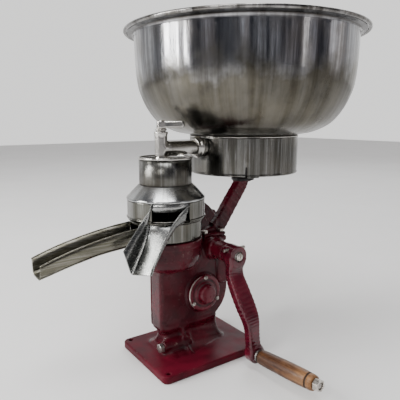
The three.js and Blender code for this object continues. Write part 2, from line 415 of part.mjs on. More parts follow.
// ---- skim pan and its long spout -----------------------------------------------
const T = 1.0; // sheet thickness of the tinware
let skimPan = lathe([
  [SKIM_R, SKIM_Z0 + 0.2], [SKIM_R, 211.4], [49.7, 211.4], [49.7, 188.6], [44, 189.4], [21, 206.6], [21, 208], [20, 208], [20, 206], [43.6, 188.2], [46.2, 187.4], [46.2, SKIM_Z0 + 0.2], [SKIM_R, SKIM_Z0 + 0.2],
], 48);
const spoutX = (y) => -1 + (y + 50) * 0.037; // the spout's middle line
const SKIM_LINE = [[-44, 188, 208], [-53, 184.7, 206.9], [-60, 182, 206.2], [-72, 179.8, 204.7], [-90, 178, 202], [-110, 175.2, 198.3], [-130, 171, 193.8], [-150, 166, 188.6], [-170, 160.6, 182.2], [-185, 156.6, 176.6]];
// a U section: floor width wf, top width wt, open upwards; c places a point of the section
const channel = (stations, ths) => loft(stations.map(([c, zf, zt, wf, wt]) =>
  [[-wt / 2, zt], [-wt / 2 + ths * 1.05, zt], [-wf / 2 + ths * 1.02, zf + ths], [wf / 2 - ths * 1.02, zf + ths], [wt / 2 - ths * 1.05, zt], [wt / 2, zt], [wf / 2, zf], [-wf / 2, zf]].map(([a, z]) => c(a, z))));
const skimStations = SKIM_LINE.map(([y, zf, zt]) => [(a, z) => [spoutX(y) + a, y + (z - zf) * 0.02, z], zf, zt, 30 + (y + 185) * 0.02, 40 + (y + 185) * 0.02]);
const skimSpoutRaw = channel(skimStations, T);
const skimMouth = box(-15.4, 14.6, -60, -30, 190.6, 207.2);
skimPan = cut(skimPan, skimMouth);
add("skim_pan", skimPan, tin());
add("skim_spout", cut(skimSpoutRaw, cylZ(SKIM_R + GAP, 180, 215, 0, 0, 64)), tin());

// ---- cream pan and its short wide spout ----------------------------------------
const creamDir = V(0.216, -0.976, 0).normalize(), creamSide = V(0.976, 0.216, 0).normalize();
const cp = (along, across, z) => [creamDir.x * along + creamSide.x * across, creamDir.y * along + creamSide.y * across, z];
let creamPan = lathe([
  [CREAM_R, CREAM_Z0 + 0.6], [55.6, CREAM_Z0 + 1], [55.6, CREAM_Z0 + 2.4], [CREAM_R, CREAM_Z0 + 3], [CREAM_R, CREAM_Z1 - 0.6], [53.5, CREAM_Z1 - 0.6], [53.5, 216.4], [21.2, 226.4], [21.2, 229.4],
  [20.2, 229.4], [20.2, 225.6], [49.4, 216.4], [49.4, 212], [SKIM_R + 1.4, 212], [SKIM_R + 1.4, CREAM_Z0 + 0.6], [CREAM_R, CREAM_Z0 + 0.6],
], 48);
const CREAM_STATIONS = [
  [[40, 241], [40, 211], [0, 213.5], [0, 241]], [[50, 237], [47, 205], [16, 212], [14, 233.5]], [[56, 224], [54, 195], [34, 206], [28, 224.5]],
  [[64, 211.5], [62, 183], [50, 190], [42, 212]], [[74, 201.5], [70, 169.5], [61, 176], [55, 195]], [[83, 192], [76, 159], [68.5, 165], [66, 177.5]],
  [[91.5, 183], [81.5, 150], [75, 155], [74, 162]],
];
const creamSpout = loft(CREAM_STATIONS.map(([lt, lf, rf, rt]) => [
  cp(lt[0], 17.2, lt[1]), cp(lf[0], 18.6, lf[1]), cp(rf[0], 53.6, rf[1]), cp(rt[0], 55.1, rt[1]),
  cp(rt[0], 54, rt[1]), cp(rf[0], 52.5, rf[1] + T * 1.5), cp(lf[0], 19.7, lf[1] + T * 1.5), cp(lt[0], 18.3, lt[1]),
]));
creamPan = cut(creamPan, prism([[cp(0, 24, 0)[0], cp(0, 24, 0)[1]], [cp(80, 21, 0)[0], cp(80, 21, 0)[1]], [cp(80, 70, 0)[0], cp(80, 70, 0)[1]], [cp(8, 70, 0)[0], cp(8, 70, 0)[1]], [cp(8, 50, 0)[0], cp(8, 50, 0)[1]]], ALONG_Z(217.6), 19));
add("cream_pan", creamPan, tin());
add("cream_spout", cut(creamSpout, cylZ(55.9, 140, 250, 0, 0, 64), cylZ(56.2, 213, 218, 0, 0, 64)), tin());

// ---- pan cover, float chamber and float ------------------------------------------
add("pan_cover", lathe([
  [53.1, 229], [53.1, 241.2], [55.2, 241.2], [55.4, 242.4], [54.6, 243.2], [38.4, 260.2], [30, 260.2], [30, 259.2], [37.8, 259.2], [52.2, 243.4], [52.2, 229], [53.1, 229],
], 48), tin());
add("float_chamber", lathe([
  [CHAMBER_R, CHAMBER_Z0 + 0.2], [CHAMBER_R, 296.4], [38.4, 298.6], [38.6, CHAMBER_Z1], [37.6, CHAMBER_Z1], [36.4, 296.6], [36.4, 261.7], [2.6, 261.7], [2.6, 224], [3.4, 224], [3.4, 250], [6, 254], [6, 257.6], [28, 257.6], [29.6, 258.4], [29.6, CHAMBER_Z0 + 0.2], [CHAMBER_R, CHAMBER_Z0 + 0.2],
], 40), tin());
add("float", lathe([[0, 263.6], [20, 263.6], [27, 265.4], [28, 268.5], [27, 272], [20, 274], [4, 274.6], [3, 276.8], [2, 280], [0, 280]], 28), tin());

// ---- supply can arm -----------------------------------------------------------------
{
  // flat bar, wide in the leaning plane, from the frame's top pad to the support flange
  const sec = (x, y, z, w, t, tilt) => {
    const c = Math.cos(tilt), s = Math.sin(tilt);
    return roundRect(-t / 2, t / 2, -w / 2, w / 2, 3, 2).map(([a, b]) => [x + a, y + b * c, z - b * s]);
  };
  const bar = loft([
    sec(-3, 88, 182, 24, 13, 0.1), sec(-4, 97, 188, 24, 13, 0.35), sec(-7, 108, 199, 24, 13, 0.72), sec(-11.5, 127, 220, 24, 13, 0.7), sec(-16, 146, 240, 23, 13, 0.6), sec(-18.4, 154, 249, 22, 14, 0.2), sec(-19, 156, 254, 20, 16, 0),
  ]);
  const foot = join(
    box(-13, 14.1, 58, 98, 174 + GAP, 179.5),
    prism([[58.5, 179], [97, 179], [97, 182], [90, 187], [76, 185.5], [60, 182.5]], ALONG_X(-12.6), 15),
    bar,
    cylZ(19, 252, 257.6, CAN_X, CAN_Y, 28),
    cylZ(14, 257, 284, CAN_X, CAN_Y, 24),
  );
  add("can_arm", cut(foot, cylZ(3.3, 160, 182, 8, 62, 10), cylZ(3.3, 160, 182, 8, 92, 10), cylZ(2.7, 270, 290, CAN_X, CAN_Y, 12), box(2.45, 15, 84, 98.5, 179.5, 200)), black());
  add("arm_bolt_1", hexScrew(V(8, 62, 179.5 + GAP), V(8, 62, 400), 5.2, 4.6, 3, 13), steel());
  add("arm_bolt_2", hexScrew(V(8, 92, 179.5 + GAP), V(8, 92, 400), 5.2, 4.6, 3, 13), steel());
  add("can_support_plate", cut(lathe([[14.4, 262], [20.5, 262], [20.5, 284.3], [60, 290.5], [76, 291.2], [76, 294], [0, 294], [0, 284.4], [14.4, 284.4], [14.4, 262]], 36, CAN_X, CAN_Y), cylZ(2.7, 280, 296, CAN_X, CAN_Y, 12)), black());
  add("support_plate_screw", screw(V(CAN_X, CAN_Y, 294 + 0.1), V(CAN_X, CAN_Y, 400), 5.2, 2, 2.3, 18), steel());
}

// ---- supply can, skirt and tap -----------------------------------------------------
{
  const prof = [];
  // outside from the flat bottom up the dish and wall to the rolled rim
  const out = [[0, 297], [68, 297], [79.6, 305], [84.6, 324], [87, 326.8], [112, 332], [136, 344.5], [154, 366.5], [165.5, 392], [171, 428], [CAN_R, 476], [CAN_RIM_R - 2, 479.4], [CAN_RIM_R, CAN_RIM_Z]];
  const inn = [[CAN_R + 1, 483.2], [CAN_R - 1.4, 474], [169.6, 428.4], [164.1, 392.8], [152.9, 367.6], [135.2, 345.9], [111.4, 333.5], [84.8, 328], [78.4, 306], [67.6, 298.4], [0, 298.4]];
  prof.push(...out, ...inn);
  const pipeDir = V(TAP_X - CAN_X, TAP_Y - CAN_Y, 0).normalize();
  const pipeAt = (d) => V(CAN_X + pipeDir.x * d, CAN_Y + pipeDir.y * d, PIPE_Z);
  let can = lathe(prof, 56, CAN_X, CAN_Y);
  const far = pipeAt(300);
  can = cut(can, turned([[0, 0], [8.8, 0], [8.8, 30], [0, 30]], pipeAt(70), far, 20));
  add("supply_can", can, tin());
  let skirt = lathe([[SKIRT_R - 0.7, SKIRT_Z0], [SKIRT_R, SKIRT_Z0], [SKIRT_R + 0.9, SKIRT_Z1 - 1.5], [SKIRT_R + 0.1, SKIRT_Z1 - 0.4], [SKIRT_R - 0.7, SKIRT_Z1 - 1.5], [SKIRT_R - 0.7, SKIRT_Z0]], 56, CAN_X, CAN_Y);
  skirt = cut(skirt, turned([[0, 0], [9.8, 0], [9.8, 40], [0, 40]], pipeAt(70), far, 20));
  add("can_skirt", skirt, tin());
  const D = V(CAN_X, CAN_Y, 0).distanceTo(V(TAP_X, TAP_Y, 0));
  // pipe through the skirt into the can's side, with a shoulder the flange nut pulls up on
  let tap = join(
    turned([[0, 0], [8, 0], [8, 10], [8.8, 10.3], [8.8, 18], [10.2, 19], [10.2, D - 76], [0, D - 76]], pipeAt(76), far, 24),
    lathe([[0, 288], [6.5, 288], [7.6, 292], [9.2, 296], [9.2, 334], [0, 334]], 24, TAP_X, TAP_Y),
  );
  tap = cut(tap,
    turned([[0, -2], [5, -2], [5, D - 76], [0, D - 76]], pipeAt(76), far, 16),
    lathe([[0, 280], [4, 280], [4, 303.4], [6.5, 303.5], [7.2, 340], [0, 340]], 24, TAP_X, TAP_Y),
  );
  add("tap_body", tap, tin());
  add("tap_flange_nut", turned([[10.8, 0], [13, 0], [13, 7], [16, 7.4], [16, 12], [14.4, 13.4], [13, 17.6], [10.8, 18], [10.8, 0]], pipeAt(SKIRT_R + 1.4), far, 28), tin());
  // plug with its cross port, neck and lever
  const plug = cut(lathe([[0, 304], [6.1, 304], [6.8, 334.6], [6.8, 335.4], [8.6, 335.8], [8.6, 337.4], [4.4, 338.6], [4.2, 343], [0, 343]], 24, TAP_X, TAP_Y),
    turned([[0, 0], [3.8, 0], [3.8, 9], [0, 9]], V(TAP_X, TAP_Y, PIPE_Z), V(TAP_X - pipeDir.x * 50, TAP_Y - pipeDir.y * 50, PIPE_Z), 14),
    cylZ(3.4, 300, PIPE_Z, TAP_X, TAP_Y, 14));
  const lever = join(
    prism(roundRect(-3, 30, -3.4, 3.4, 3.3, 3), new THREE.Matrix4().makeTranslation(TAP_X, TAP_Y, 341.8).multiply(new THREE.Matrix4().makeRotationZ(LEVER_AZ)), 10.6),
    lathe([[0, 341.4], [5.6, 341.4], [6, 343], [6, 351.4], [4.6, 353], [0, 353.4]], 20, TAP_X, TAP_Y),
  );
  add("tap_key", join(plug, lever), tin());
}

export default root;
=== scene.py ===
# Hand-cranked cream separator: looks, light and camera. Metres, +Z up, the CAD model's own frame.
import json
import math
import bpy
import bmesh
import numpy as np
from mathutils import Matrix, Vector

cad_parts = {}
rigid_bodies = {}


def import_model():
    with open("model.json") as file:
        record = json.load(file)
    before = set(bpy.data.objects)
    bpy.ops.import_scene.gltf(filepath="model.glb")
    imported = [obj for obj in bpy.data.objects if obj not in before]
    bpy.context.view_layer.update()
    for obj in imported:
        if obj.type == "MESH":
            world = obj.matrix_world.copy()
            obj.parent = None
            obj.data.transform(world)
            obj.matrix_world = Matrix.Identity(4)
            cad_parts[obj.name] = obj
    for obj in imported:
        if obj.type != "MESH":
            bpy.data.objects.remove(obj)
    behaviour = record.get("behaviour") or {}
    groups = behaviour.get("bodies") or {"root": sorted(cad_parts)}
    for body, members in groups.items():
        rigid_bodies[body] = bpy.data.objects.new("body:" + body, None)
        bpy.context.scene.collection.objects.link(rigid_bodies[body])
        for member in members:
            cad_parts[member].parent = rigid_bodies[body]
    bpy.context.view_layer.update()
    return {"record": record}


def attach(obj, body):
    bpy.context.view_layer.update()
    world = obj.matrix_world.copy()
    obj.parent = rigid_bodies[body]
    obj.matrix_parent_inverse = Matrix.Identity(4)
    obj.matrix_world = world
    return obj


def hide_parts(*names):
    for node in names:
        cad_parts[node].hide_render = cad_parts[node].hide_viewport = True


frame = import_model()
MM = 0.001

# ---------------------------------------------------------------- node materials
def new_mat(name):
    m = bpy.data.materials.new(name)
    m.use_nodes = True
    nt = m.node_tree
    nt.nodes.clear()
    out = nt.nodes.new("ShaderNodeOutputMaterial")
    b = nt.nodes.new("ShaderNodeBsdfPrincipled")
    nt.links.new(b.outputs[0], out.inputs[0])
    return m, nt, b


class N:
    """Short hand for building one node tree."""

    def __init__(self, nt):
        self.nt = nt
        self.pos = nt.nodes.new("ShaderNodeTexCoord").outputs["Object"]

    def link(self, a, b):
        self.nt.links.new(a, b)

    def mapping(self, scale, rot=(0, 0, 0), loc=(0, 0, 0), src=None):
        n = self.nt.nodes.new("ShaderNodeMapping")
        n.inputs["Scale"].default_value = scale
        n.inputs["Rotation"].default_value = rot
        n.inputs["Location"].default_value = loc
        self.link(src or self.pos, n.inputs["Vector"])
        return n.outputs[0]

    def noise(self, scale, detail=4, rough=0.55, src=None, dist=0.0):
        n = self.nt.nodes.new("ShaderNodeTexNoise")
        n.inputs["Scale"].default_value = scale
        n.inputs["Detail"].default_value = detail
        n.inputs["Roughness"].default_value = rough
        n.inputs["Distortion"].default_value = dist
        self.link(src or self.pos, n.inputs["Vector"])
        return n.outputs[0]

    def voronoi(self, scale, feature="F1", src=None):
        n = self.nt.nodes.new("ShaderNodeTexVoronoi")
        n.feature = feature
        n.inputs["Scale"].default_value = scale
        self.link(src or self.pos, n.inputs["Vector"])
        return n.outputs["Distance"]

    def ramp(self, fac, stops):
        n = self.nt.nodes.new("ShaderNodeValToRGB")
        e = n.color_ramp.elements
        while len(e) < len(stops):
            e.new(0.5)
        for k, (p, c) in enumerate(stops):
            e[k].position = p
            e[k].color = (c, c, c, 1) if isinstance(c, (int, float)) else (*c, 1)
        self.link(fac, n.inputs[0])
        return n.outputs[0]

    def remap(self, v, a, b, c, d):
        n = self.nt.nodes.new("ShaderNodeMapRange")
        for k, x in enumerate((a, b, c, d)):
            n.inputs[k + 1].default_value = x
        self.link(v, n.inputs[0])
        return n.outputs[0]

    def math(self, op, a, b=None):
        n = self.nt.nodes.new("ShaderNodeMath")
        n.operation = op
        for k, x in enumerate((a, b)):
            if x is None:
                continue
            if isinstance(x, (int, float)):
                n.inputs[k].default_value = x
            else:
                self.link(x, n.inputs[k])
        return n.outputs[0]

    def mix(self, fac, a, b, blend="MIX"):
        n = self.nt.nodes.new("ShaderNodeMix")
        n.data_type = "RGBA"
        n.blend_type = blend
        for idx, x in ((0, fac), (6, a), (7, b)):
            if isinstance(x, (int, float)):
                n.inputs[idx].default_value = x
            elif isinstance(x, tuple):
                n.inputs[idx].default_value = (*x, 1)
            else:
                self.link(x, n.inputs[idx])
        return n.outputs[2]

    def attr(self, name):
        n = self.nt.nodes.new("ShaderNodeAttribute")
        n.attribute_name = name
        return n.outputs["Fac"]

    def sep(self, src=None):
        n = self.nt.nodes.new("ShaderNodeSeparateXYZ")
        self.link(src or self.pos, n.inputs[0])
        return n.outputs

    def comb(self, x, y, z):
        n = self.nt.nodes.new("ShaderNodeCombineXYZ")
        for k, v in enumerate((x, y, z)):
            if isinstance(v, (int, float)):
                n.inputs[k].default_value = v
            else:
                self.link(v, n.inputs[k])
        return n.outputs[0]

    def dot(self, v, d):
        n = self.nt.nodes.new("ShaderNodeVectorMath")
        n.operation = "DOT_PRODUCT"
        self.link(v, n.inputs[0])
        n.inputs[1].default_value = d
        return n.outputs["Value"]

    def bump(self, h, strength, dist, normal=None):
        n = self.nt.nodes.new("ShaderNodeBump")
        n.inputs["Strength"].default_value = strength
        n.inputs["Distance"].default_value = dist
        self.link(h, n.inputs["Height"])
        if normal is not None:
            self.link(normal, n.inputs["Normal"])
        return n.outputs[0]


# the worn colour is laid on convex edges: partly rubbed enamel, partly a painted highlight
def enamel(name, lit=(0.098, 0.004, 0.013), dark=(0.030, 0.0015, 0.005), rough=(0.20, 0.33), lumps=1.0, coat=0.05, worn=(0.17, 0.12, 0.10), edge_wear_and_highlight_amount=1.0, spec=0.22):
    """Old gloss enamel over a sand-cast surface: soft lumps, darker in the hollows, a few rubbed edges and chips whose
    pale colour also serves as a painted highlight on the cast edges.
    """
    m, nt, b = new_mat(name)
    n = N(nt)
    broad = n.noise(24, 4, 0.55)
    col = n.mix(n.remap(broad, 0.36, 0.68, 0, 1), dark, lit)
    smoke = n.remap(n.noise(60, 5, 0.6), 0.5, 0.72, 0, 0.45)
    col = n.mix(smoke, col, tuple(0.45 * c for c in dark))
    # darkens the colour in the hollows and creases, toward near black
    hollow_mask = n.math("MULTIPLY", n.attr("hollow"), n.remap(n.noise(110, 5, 0.6), 0.3, 0.65, 0.3, 0.95))
    col = n.mix(hollow_mask, col, (0.009, 0.006, 0.006))
    # pale colour on convex edges where the noise allows: partly rubbed enamel and chips, partly a painted highlight for
    # the glints on the cast edges
    edge = n.math("MULTIPLY", n.attr("edge"), n.remap(n.noise(210, 5, 0.6), 0.60, 0.66, 0, edge_wear_and_highlight_amount))
    edge = n.math("MINIMUM", edge, 1.0)
    col = n.mix(edge, col, worn)
    n.link(col, b.inputs["Base Color"])
    r = n.remap(n.noise(48, 5, 0.6), 0.3, 0.7, rough[0], rough[1])
    r = n.math("ADD", r, n.math("MULTIPLY", edge, 0.25))
    r = n.math("ADD", r, n.math("MULTIPLY", hollow_mask, 0.3))
    n.link(r, b.inputs["Roughness"])
    b.inputs["Coat Weight"].default_value = coat
    b.inputs["Coat Roughness"].default_value = 0.08
    b.inputs["Specular IOR Level"].default_value = spec
    h = n.bump(n.noise(42, 3, 0.4), 0.26 * lumps, 0.0016)
    h = n.bump(n.noise(180, 2, 0.4), 0.05 * lumps, 0.0003, h)
    h = n.bump(n.math("MULTIPLY", edge, -1.0), 0.3, 0.0002, h)
    n.link(h, b.inputs["Normal"])
    return m


def spun(name, centre, tint=(0.40, 0.405, 0.42), dark=(0.085, 0.085, 0.09), rough=(0.07, 0.18), bands=9.0, tarnish=None, rim=None, stain=0.3, wavy=1.0):
    """Old tinned sheet worked round an upright axis: light and dark streaks down the wall painted into the colour as
    reflections of the surroundings, brown tarnish, shallow panels.
    """
    m, nt, b = new_mat(name)
    n = N(nt)
    b.inputs["Metallic"].default_value = 1.0
    x, y, z = n.sep()
    x, y = n.math("SUBTRACT", x, centre[0] * MM), n.math("SUBTRACT", y, centre[1] * MM)
    v = nt.nodes.new("ShaderNodeVectorMath")
    v.operation = "NORMALIZE"
    n.link(n.comb(x, y, 0.0), v.inputs[0])
    around = n.mapping((1, 1, 1), src=v.outputs[0])
    sx, sy, _ = n.sep(around)
    wall = n.comb(sx, sy, n.math("MULTIPLY", z, 0.35))
    # painted reflection: this noise makes light and dark vertical bands in the colour that stand in for the
    # surroundings mirrored in the wall; it also drives the wall's bump
    streak_relief_and_painted_reflection = n.noise(bands, 7, 0.68, wall)
    # fine light and dark hairlines mixed into the colour below: more painted reflection streaks
    painted_reflection_hairlines = n.noise(bands * 7, 3, 0.6, n.comb(sx, sy, n.math("MULTIPLY", z, 0.5)))
    col = n.mix(n.remap(streak_relief_and_painted_reflection, 0.40, 0.60, 0, 1), dark, tint)
    col = n.mix(n.remap(painted_reflection_hairlines, 0.54, 0.70, 0, 0.28), col, (0.58, 0.58, 0.60))
    col = n.mix(n.remap(painted_reflection_hairlines, 0.46, 0.34, 0, 0.25), col, tuple(0.6 * c for c in dark))
    smudge = n.noise(26, 5, 0.62)
    col = n.mix(n.remap(smudge, 0.46, 0.70, 0, 0.5), col, (0.13, 0.115, 0.095))
    if tarnish:
        low = n.remap(n.math("ADD", z, n.remap(n.noise(14, 4, 0.6), 0.3, 0.7, -0.03, 0.03)), tarnish[0], tarnish[1], 0, 0.90)
        brown = n.mix(n.remap(n.noise(18, 6, 0.65), 0.36, 0.66, 0, 1), (0.034, 0.030, 0.021), (0.105, 0.094, 0.068))
        # inside the tarnish the painted reflection streaks still lighten the brown
        col = n.mix(low, col, n.mix(n.remap(streak_relief_and_painted_reflection, 0.40, 0.68, 0, 0.35), brown, (0.17, 0.160, 0.130)))
    spots = n.remap(n.noise(240, 4, 0.7), 0.66, 0.72, 0, stain)
    col = n.mix(spots, col, (0.10, 0.075, 0.05))
    if rim:
        col = n.mix(n.remap(z, rim[0], rim[1], 0, 0.9), col, (0.022, 0.021, 0.020))
    # darkens the colour in the hollows and joins, toward dark brown
    hollow_mask = n.math("MULTIPLY", n.attr("hollow"), n.remap(n.noise(90, 4, 0.6), 0.3, 0.7, 0.45, 1))
    col = n.mix(hollow_mask, col, (0.045, 0.037, 0.028))
    n.link(col, b.inputs["Base Color"])
    r = n.remap(smudge, 0.3, 0.72, rough[0], rough[1])
    r = n.math("ADD", r, n.math("MULTIPLY", hollow_mask, 0.3))
    if tarnish:
        r = n.math("ADD", r, n.math("MULTIPLY", low, 0.13))
    n.link(r, b.inputs["Roughness"])
    h = n.bump(n.noise(bands * 0.45, 3, 0.5, wall), 0.30 * wavy, 0.010)
    h = n.bump(streak_relief_and_painted_reflection, 0.10 * wavy, 0.0025, h)
    h = n.bump(n.noise(70, 4, 0.6), 0.05, 0.0006, h)
    n.link(h, b.inputs["Normal"])
    return m


def tinplate(name, tint=(0.60, 0.585, 0.56), dark=(0.30, 0.285, 0.26), rough=(0.13, 0.30), dents=1.0, scratch_axis="Z", stain=0.5):
    """Polished tinned sheet: faint spun or drawn lines, smudges, brown stain spots, darker and browner in the hollows,
    very shallow dents.
    """
    m, nt, b = new_mat(name)
    n = N(nt)
    b.inputs["Metallic"].default_value = 1.0
    s = {"Z": (30, 30, 900), "R": (260, 260, 12), "Y": (700, 18, 700)}[scratch_axis]
    lines = n.noise(1.0, 5, 0.6, n.mapping(s))
    smudge = n.noise(22, 5, 0.62)
    col = n.mix(n.remap(smudge, 0.38, 0.68, 0, 0.55), tint, dark)
    col = n.mix(n.remap(lines, 0.45, 0.62, 0, 0.16), col, (0.80, 0.78, 0.74))
    spots = n.remap(n.noise(330, 4, 0.7), 0.64, 0.72, 0, stain)
    col = n.mix(spots, col, (0.20, 0.14, 0.09))
    # darkens the colour in the hollows and joins, toward brown
    hollow_mask = n.math("MULTIPLY", n.attr("hollow"), n.remap(n.noise(90, 4, 0.6), 0.3, 0.7, 0.4, 1))
    col = n.mix(hollow_mask, col, (0.11, 0.085, 0.06))
    n.link(col, b.inputs["Base Color"])
    r = n.remap(smudge, 0.3, 0.7, rough[0], rough[1])
    r = n.math("ADD", r, n.remap(lines, 0.4, 0.65, 0, 0.07))
    r = n.math("ADD", r, n.math("MULTIPLY", hollow_mask, 0.3))
    n.link(r, b.inputs["Roughness"])
    h = n.bump(n.noise(15, 2, 0.4), 0.22 * dents, 0.004)
    h = n.bump(lines, 0.05, 0.0004, h)
    n.link(h, b.inputs["Normal"])
    return m


def steel(name, tint=(0.50, 0.48, 0.46), dark=(0.16, 0.14, 0.125), rough=(0.25, 0.5), lines=(40, 900, 900), rust=0.35):
    m, nt, b = new_mat(name)
    n = N(nt)
    b.inputs["Metallic"].default_value = 1.0
    big = n.noise(120, 5, 0.6)
    col = n.mix(n.remap(big, 0.4, 0.66, 0, 0.8), tint, dark)
    spots = n.remap(n.noise(520, 5, 0.7), 0.58, 0.7, 0, rust)
    col = n.mix(spots, col, (0.19, 0.10, 0.055))
    col = n.mix(n.math("MULTIPLY", n.attr("hollow"), 0.8), col, (0.04, 0.03, 0.025))
    n.link(col, b.inputs["Base Color"])
    ln = n.noise(1.0, 4, 0.6, n.mapping(lines))
    r = n.remap(big, 0.3, 0.7, rough[0], rough[1])
    r = n.math("ADD", r, n.remap(ln, 0.4, 0.65, -0.04, 0.08))
    n.link(r, b.inputs["Roughness"])
    h = n.bump(ln, 0.12, 0.0003)
    h = n.bump(n.noise(600, 4, 0.6), 0.12, 0.0002, h)
    n.link(h, b.inputs["Normal"])
    return m


def iron(name):
    m = steel(name, (0.16, 0.155, 0.15), (0.06, 0.055, 0.05), (0.4, 0.65), (300, 300, 300), 0.25)
    return m


def rubber(name):
    m, nt, b = new_mat(name)
    n = N(nt)
    col = n.mix(n.remap(n.noise(200, 4, 0.6), 0.35, 0.7, 0, 1), (0.018, 0.017, 0.016), (0.05, 0.047, 0.044))
    n.link(col, b.inputs["Base Color"])
    n.link(n.remap(n.noise(300, 4, 0.6), 0.3, 0.7, 0.6, 0.85), b.inputs["Roughness"])
    n.link(n.bump(n.noise(900, 3, 0.6), 0.2, 0.0002), b.inputs["Normal"])
    return m


GRIP_A = Vector((112, 82.4, 20.4))
GRIP_B = Vector((218, 88.4, 26.2))
GRIP_D = (GRIP_B - GRIP_A).normalized()


def wood(name):
    """Turned hardwood: long grain with fine pores, worn varnish, darker by the crank and palest at the end."""
    m, nt, b = new_mat(name)
    n = N(nt)
    e1 = GRIP_D.cross(Vector((0, 0, 1))).normalized()
    e2 = GRIP_D.cross(e1).normalized()
    t = n.math("SUBTRACT", n.dot(n.pos, tuple(GRIP_D)), float(GRIP_A.dot(GRIP_D)) * MM)
    u = n.dot(n.pos, tuple(e1))
    v = n.dot(n.pos, tuple(e2))
    long_ = n.comb(n.math("MULTIPLY", t, 0.06), u, v)
    rings = n.noise(300, 6, 0.6, long_, 1.2)
    fine = n.noise(1500, 4, 0.7, long_)
    base = n.mix(n.remap(rings, 0.36, 0.66, 0, 1), (0.036, 0.013, 0.006), (0.095, 0.038, 0.015))
    pale = n.mix(n.remap(rings, 0.36, 0.66, 0, 1), (0.145, 0.064, 0.025), (0.36, 0.185, 0.078))
    along = n.remap(t, 0.042, 0.104, 0, 1)
    along = n.math("ADD", along, n.remap(n.noise(60, 4, 0.6), 0.3, 0.7, -0.22, 0.22))
    along = n.math("MINIMUM", n.math("MAXIMUM", along, 0.0), 1.0)
    col = n.mix(along, base, pale)
    col = n.mix(n.remap(fine, 0.56, 0.7, 0, 0.6), col, (0.055, 0.026, 0.012))
    col = n.mix(n.math("MULTIPLY", n.attr("hollow"), 0.9), col, (0.020, 0.011, 0.007))
    n.link(col, b.inputs["Base Color"])
    n.link(n.remap(n.noise(90, 5, 0.6), 0.3, 0.7, 0.3, 0.56), b.inputs["Roughness"])
    b.inputs["Specular IOR Level"].default_value = 0.3
    h = n.bump(rings, 0.16, 0.0005)
    h = n.bump(fine, 0.18, 0.0002, h)
    n.link(h, b.inputs["Normal"])
    return m


M_ENAMEL = enamel("enamel_casting")
M_ENAMEL_CRANK = enamel("enamel_crank", lit=(0.135, 0.007, 0.020), dark=(0.055, 0.003, 0.010), lumps=0.6, rough=(0.12, 0.22), coat=0.25, spec=0.4)
M_ENAMEL_BASE = enamel("enamel_plate", lit=(0.112, 0.005, 0.016), dark=(0.050, 0.0025, 0.008), rough=(0.34, 0.50), lumps=0.8, coat=0.0, spec=0.10, edge_wear_and_highlight_amount=1.3)
M_ENAMEL_COVER = enamel("enamel_cover", lit=(0.16, 0.007, 0.022), dark=(0.07, 0.003, 0.010), lumps=0.6, spec=0.4)
M_BLACK = enamel("enamel_black", lit=(0.020, 0.016, 0.017), dark=(0.009, 0.007, 0.008), rough=(0.28, 0.5), coat=0.0, lumps=0.5, worn=(0.10, 0.09, 0.085))
M_CAN = spun("tin_can", (-19, 158), tint=(0.42, 0.425, 0.445), dark=(0.12, 0.12, 0.13), bands=6.0, tarnish=(0.440, 0.400), rim=(0.4760, 0.4772))
M_RIM = spun("tin_can_rim", (-19, 158), tint=(0.30, 0.295, 0.29), dark=(0.07, 0.066, 0.062), rough=(0.12, 0.26), wavy=0.3)
M_SKIRT = spun("tin_skirt", (-19, 158), tint=(0.22, 0.219, 0.21), dark=(0.080, 0.077, 0.068), rough=(0.13, 0.28), bands=5.0, wavy=0.8)
M_CONE = spun("tin_pan_cover", (0, 0), tint=(0.52, 0.535, 0.54), dark=(0.20, 0.205, 0.205), rough=(0.10, 0.24), bands=1.6, wavy=0.8)
M_PAN = spun("tin_pans", (0, 0), tint=(0.135, 0.136, 0.124), dark=(0.052, 0.050, 0.041), rough=(0.12, 0.28), bands=3.2, wavy=0.7)
M_CHAMBER = spun("tin_chamber", (0, 0), tint=(0.20, 0.204, 0.194), dark=(0.058, 0.057, 0.049), rough=(0.16, 0.30), bands=2.6, wavy=0.8)
M_SPOUT = tinplate("tin_cream_spout", tint=(0.20, 0.206, 0.203), dark=(0.075, 0.078, 0.074), rough=(0.15, 0.30), scratch_axis="Y", dents=1.4, stain=0.35)
M_TROUGH = tinplate("tin_skim_spout", tint=(0.135, 0.129, 0.098), dark=(0.055, 0.052, 0.037), rough=(0.16, 0.34), scratch_axis="Y", dents=1.4, stain=0.6)
M_TAP = tinplate("tin_tap", tint=(0.56, 0.545, 0.52), dark=(0.22, 0.205, 0.18), rough=(0.10, 0.24), scratch_axis="Z", dents=0.4)
M_BOWLTIN = tinplate("tin_bowl_discs", tint=(0.5, 0.49, 0.46), dark=(0.25, 0.24, 0.21), rough=(0.28, 0.45))
M_STEEL = steel("steel_turned")
M_SCREW = steel("steel_screws", tint=(0.62, 0.59, 0.55), dark=(0.22, 0.19, 0.16), rough=(0.22, 0.42))
M_BLACKSTEEL = steel("steel_blackened", tint=(0.10, 0.09, 0.085), dark=(0.035, 0.03, 0.028), rough=(0.35, 0.6), rust=0.5)
M_BRONZE = steel("bronze_oiled", tint=(0.60, 0.40, 0.17), dark=(0.26, 0.15, 0.06), rough=(0.28, 0.5), rust=0.15)
M_IRON = iron("iron_gear")
M_RUBBER = rubber("rubber_rings")
M_WOOD = wood("grip_wood_grain")
SLOT_MAT = {
    "maroon_enamel": M_ENAMEL, "arm_enamel": M_ENAMEL, "black_enamel": M_BLACK, "tinware": M_PAN, "bowl_tin": M_BOWLTIN, "bare_steel": M_STEEL,
    "gear_iron": M_IRON, "blackened_steel": M_BLACKSTEEL, "rubber": M_RUBBER, "bronze": M_BRONZE, "grip_wood": M_WOOD,
}

# ---------------------------------------------------------------- mesh helpers (all lengths in mm until the end)
COLL = bpy.context.scene.collection


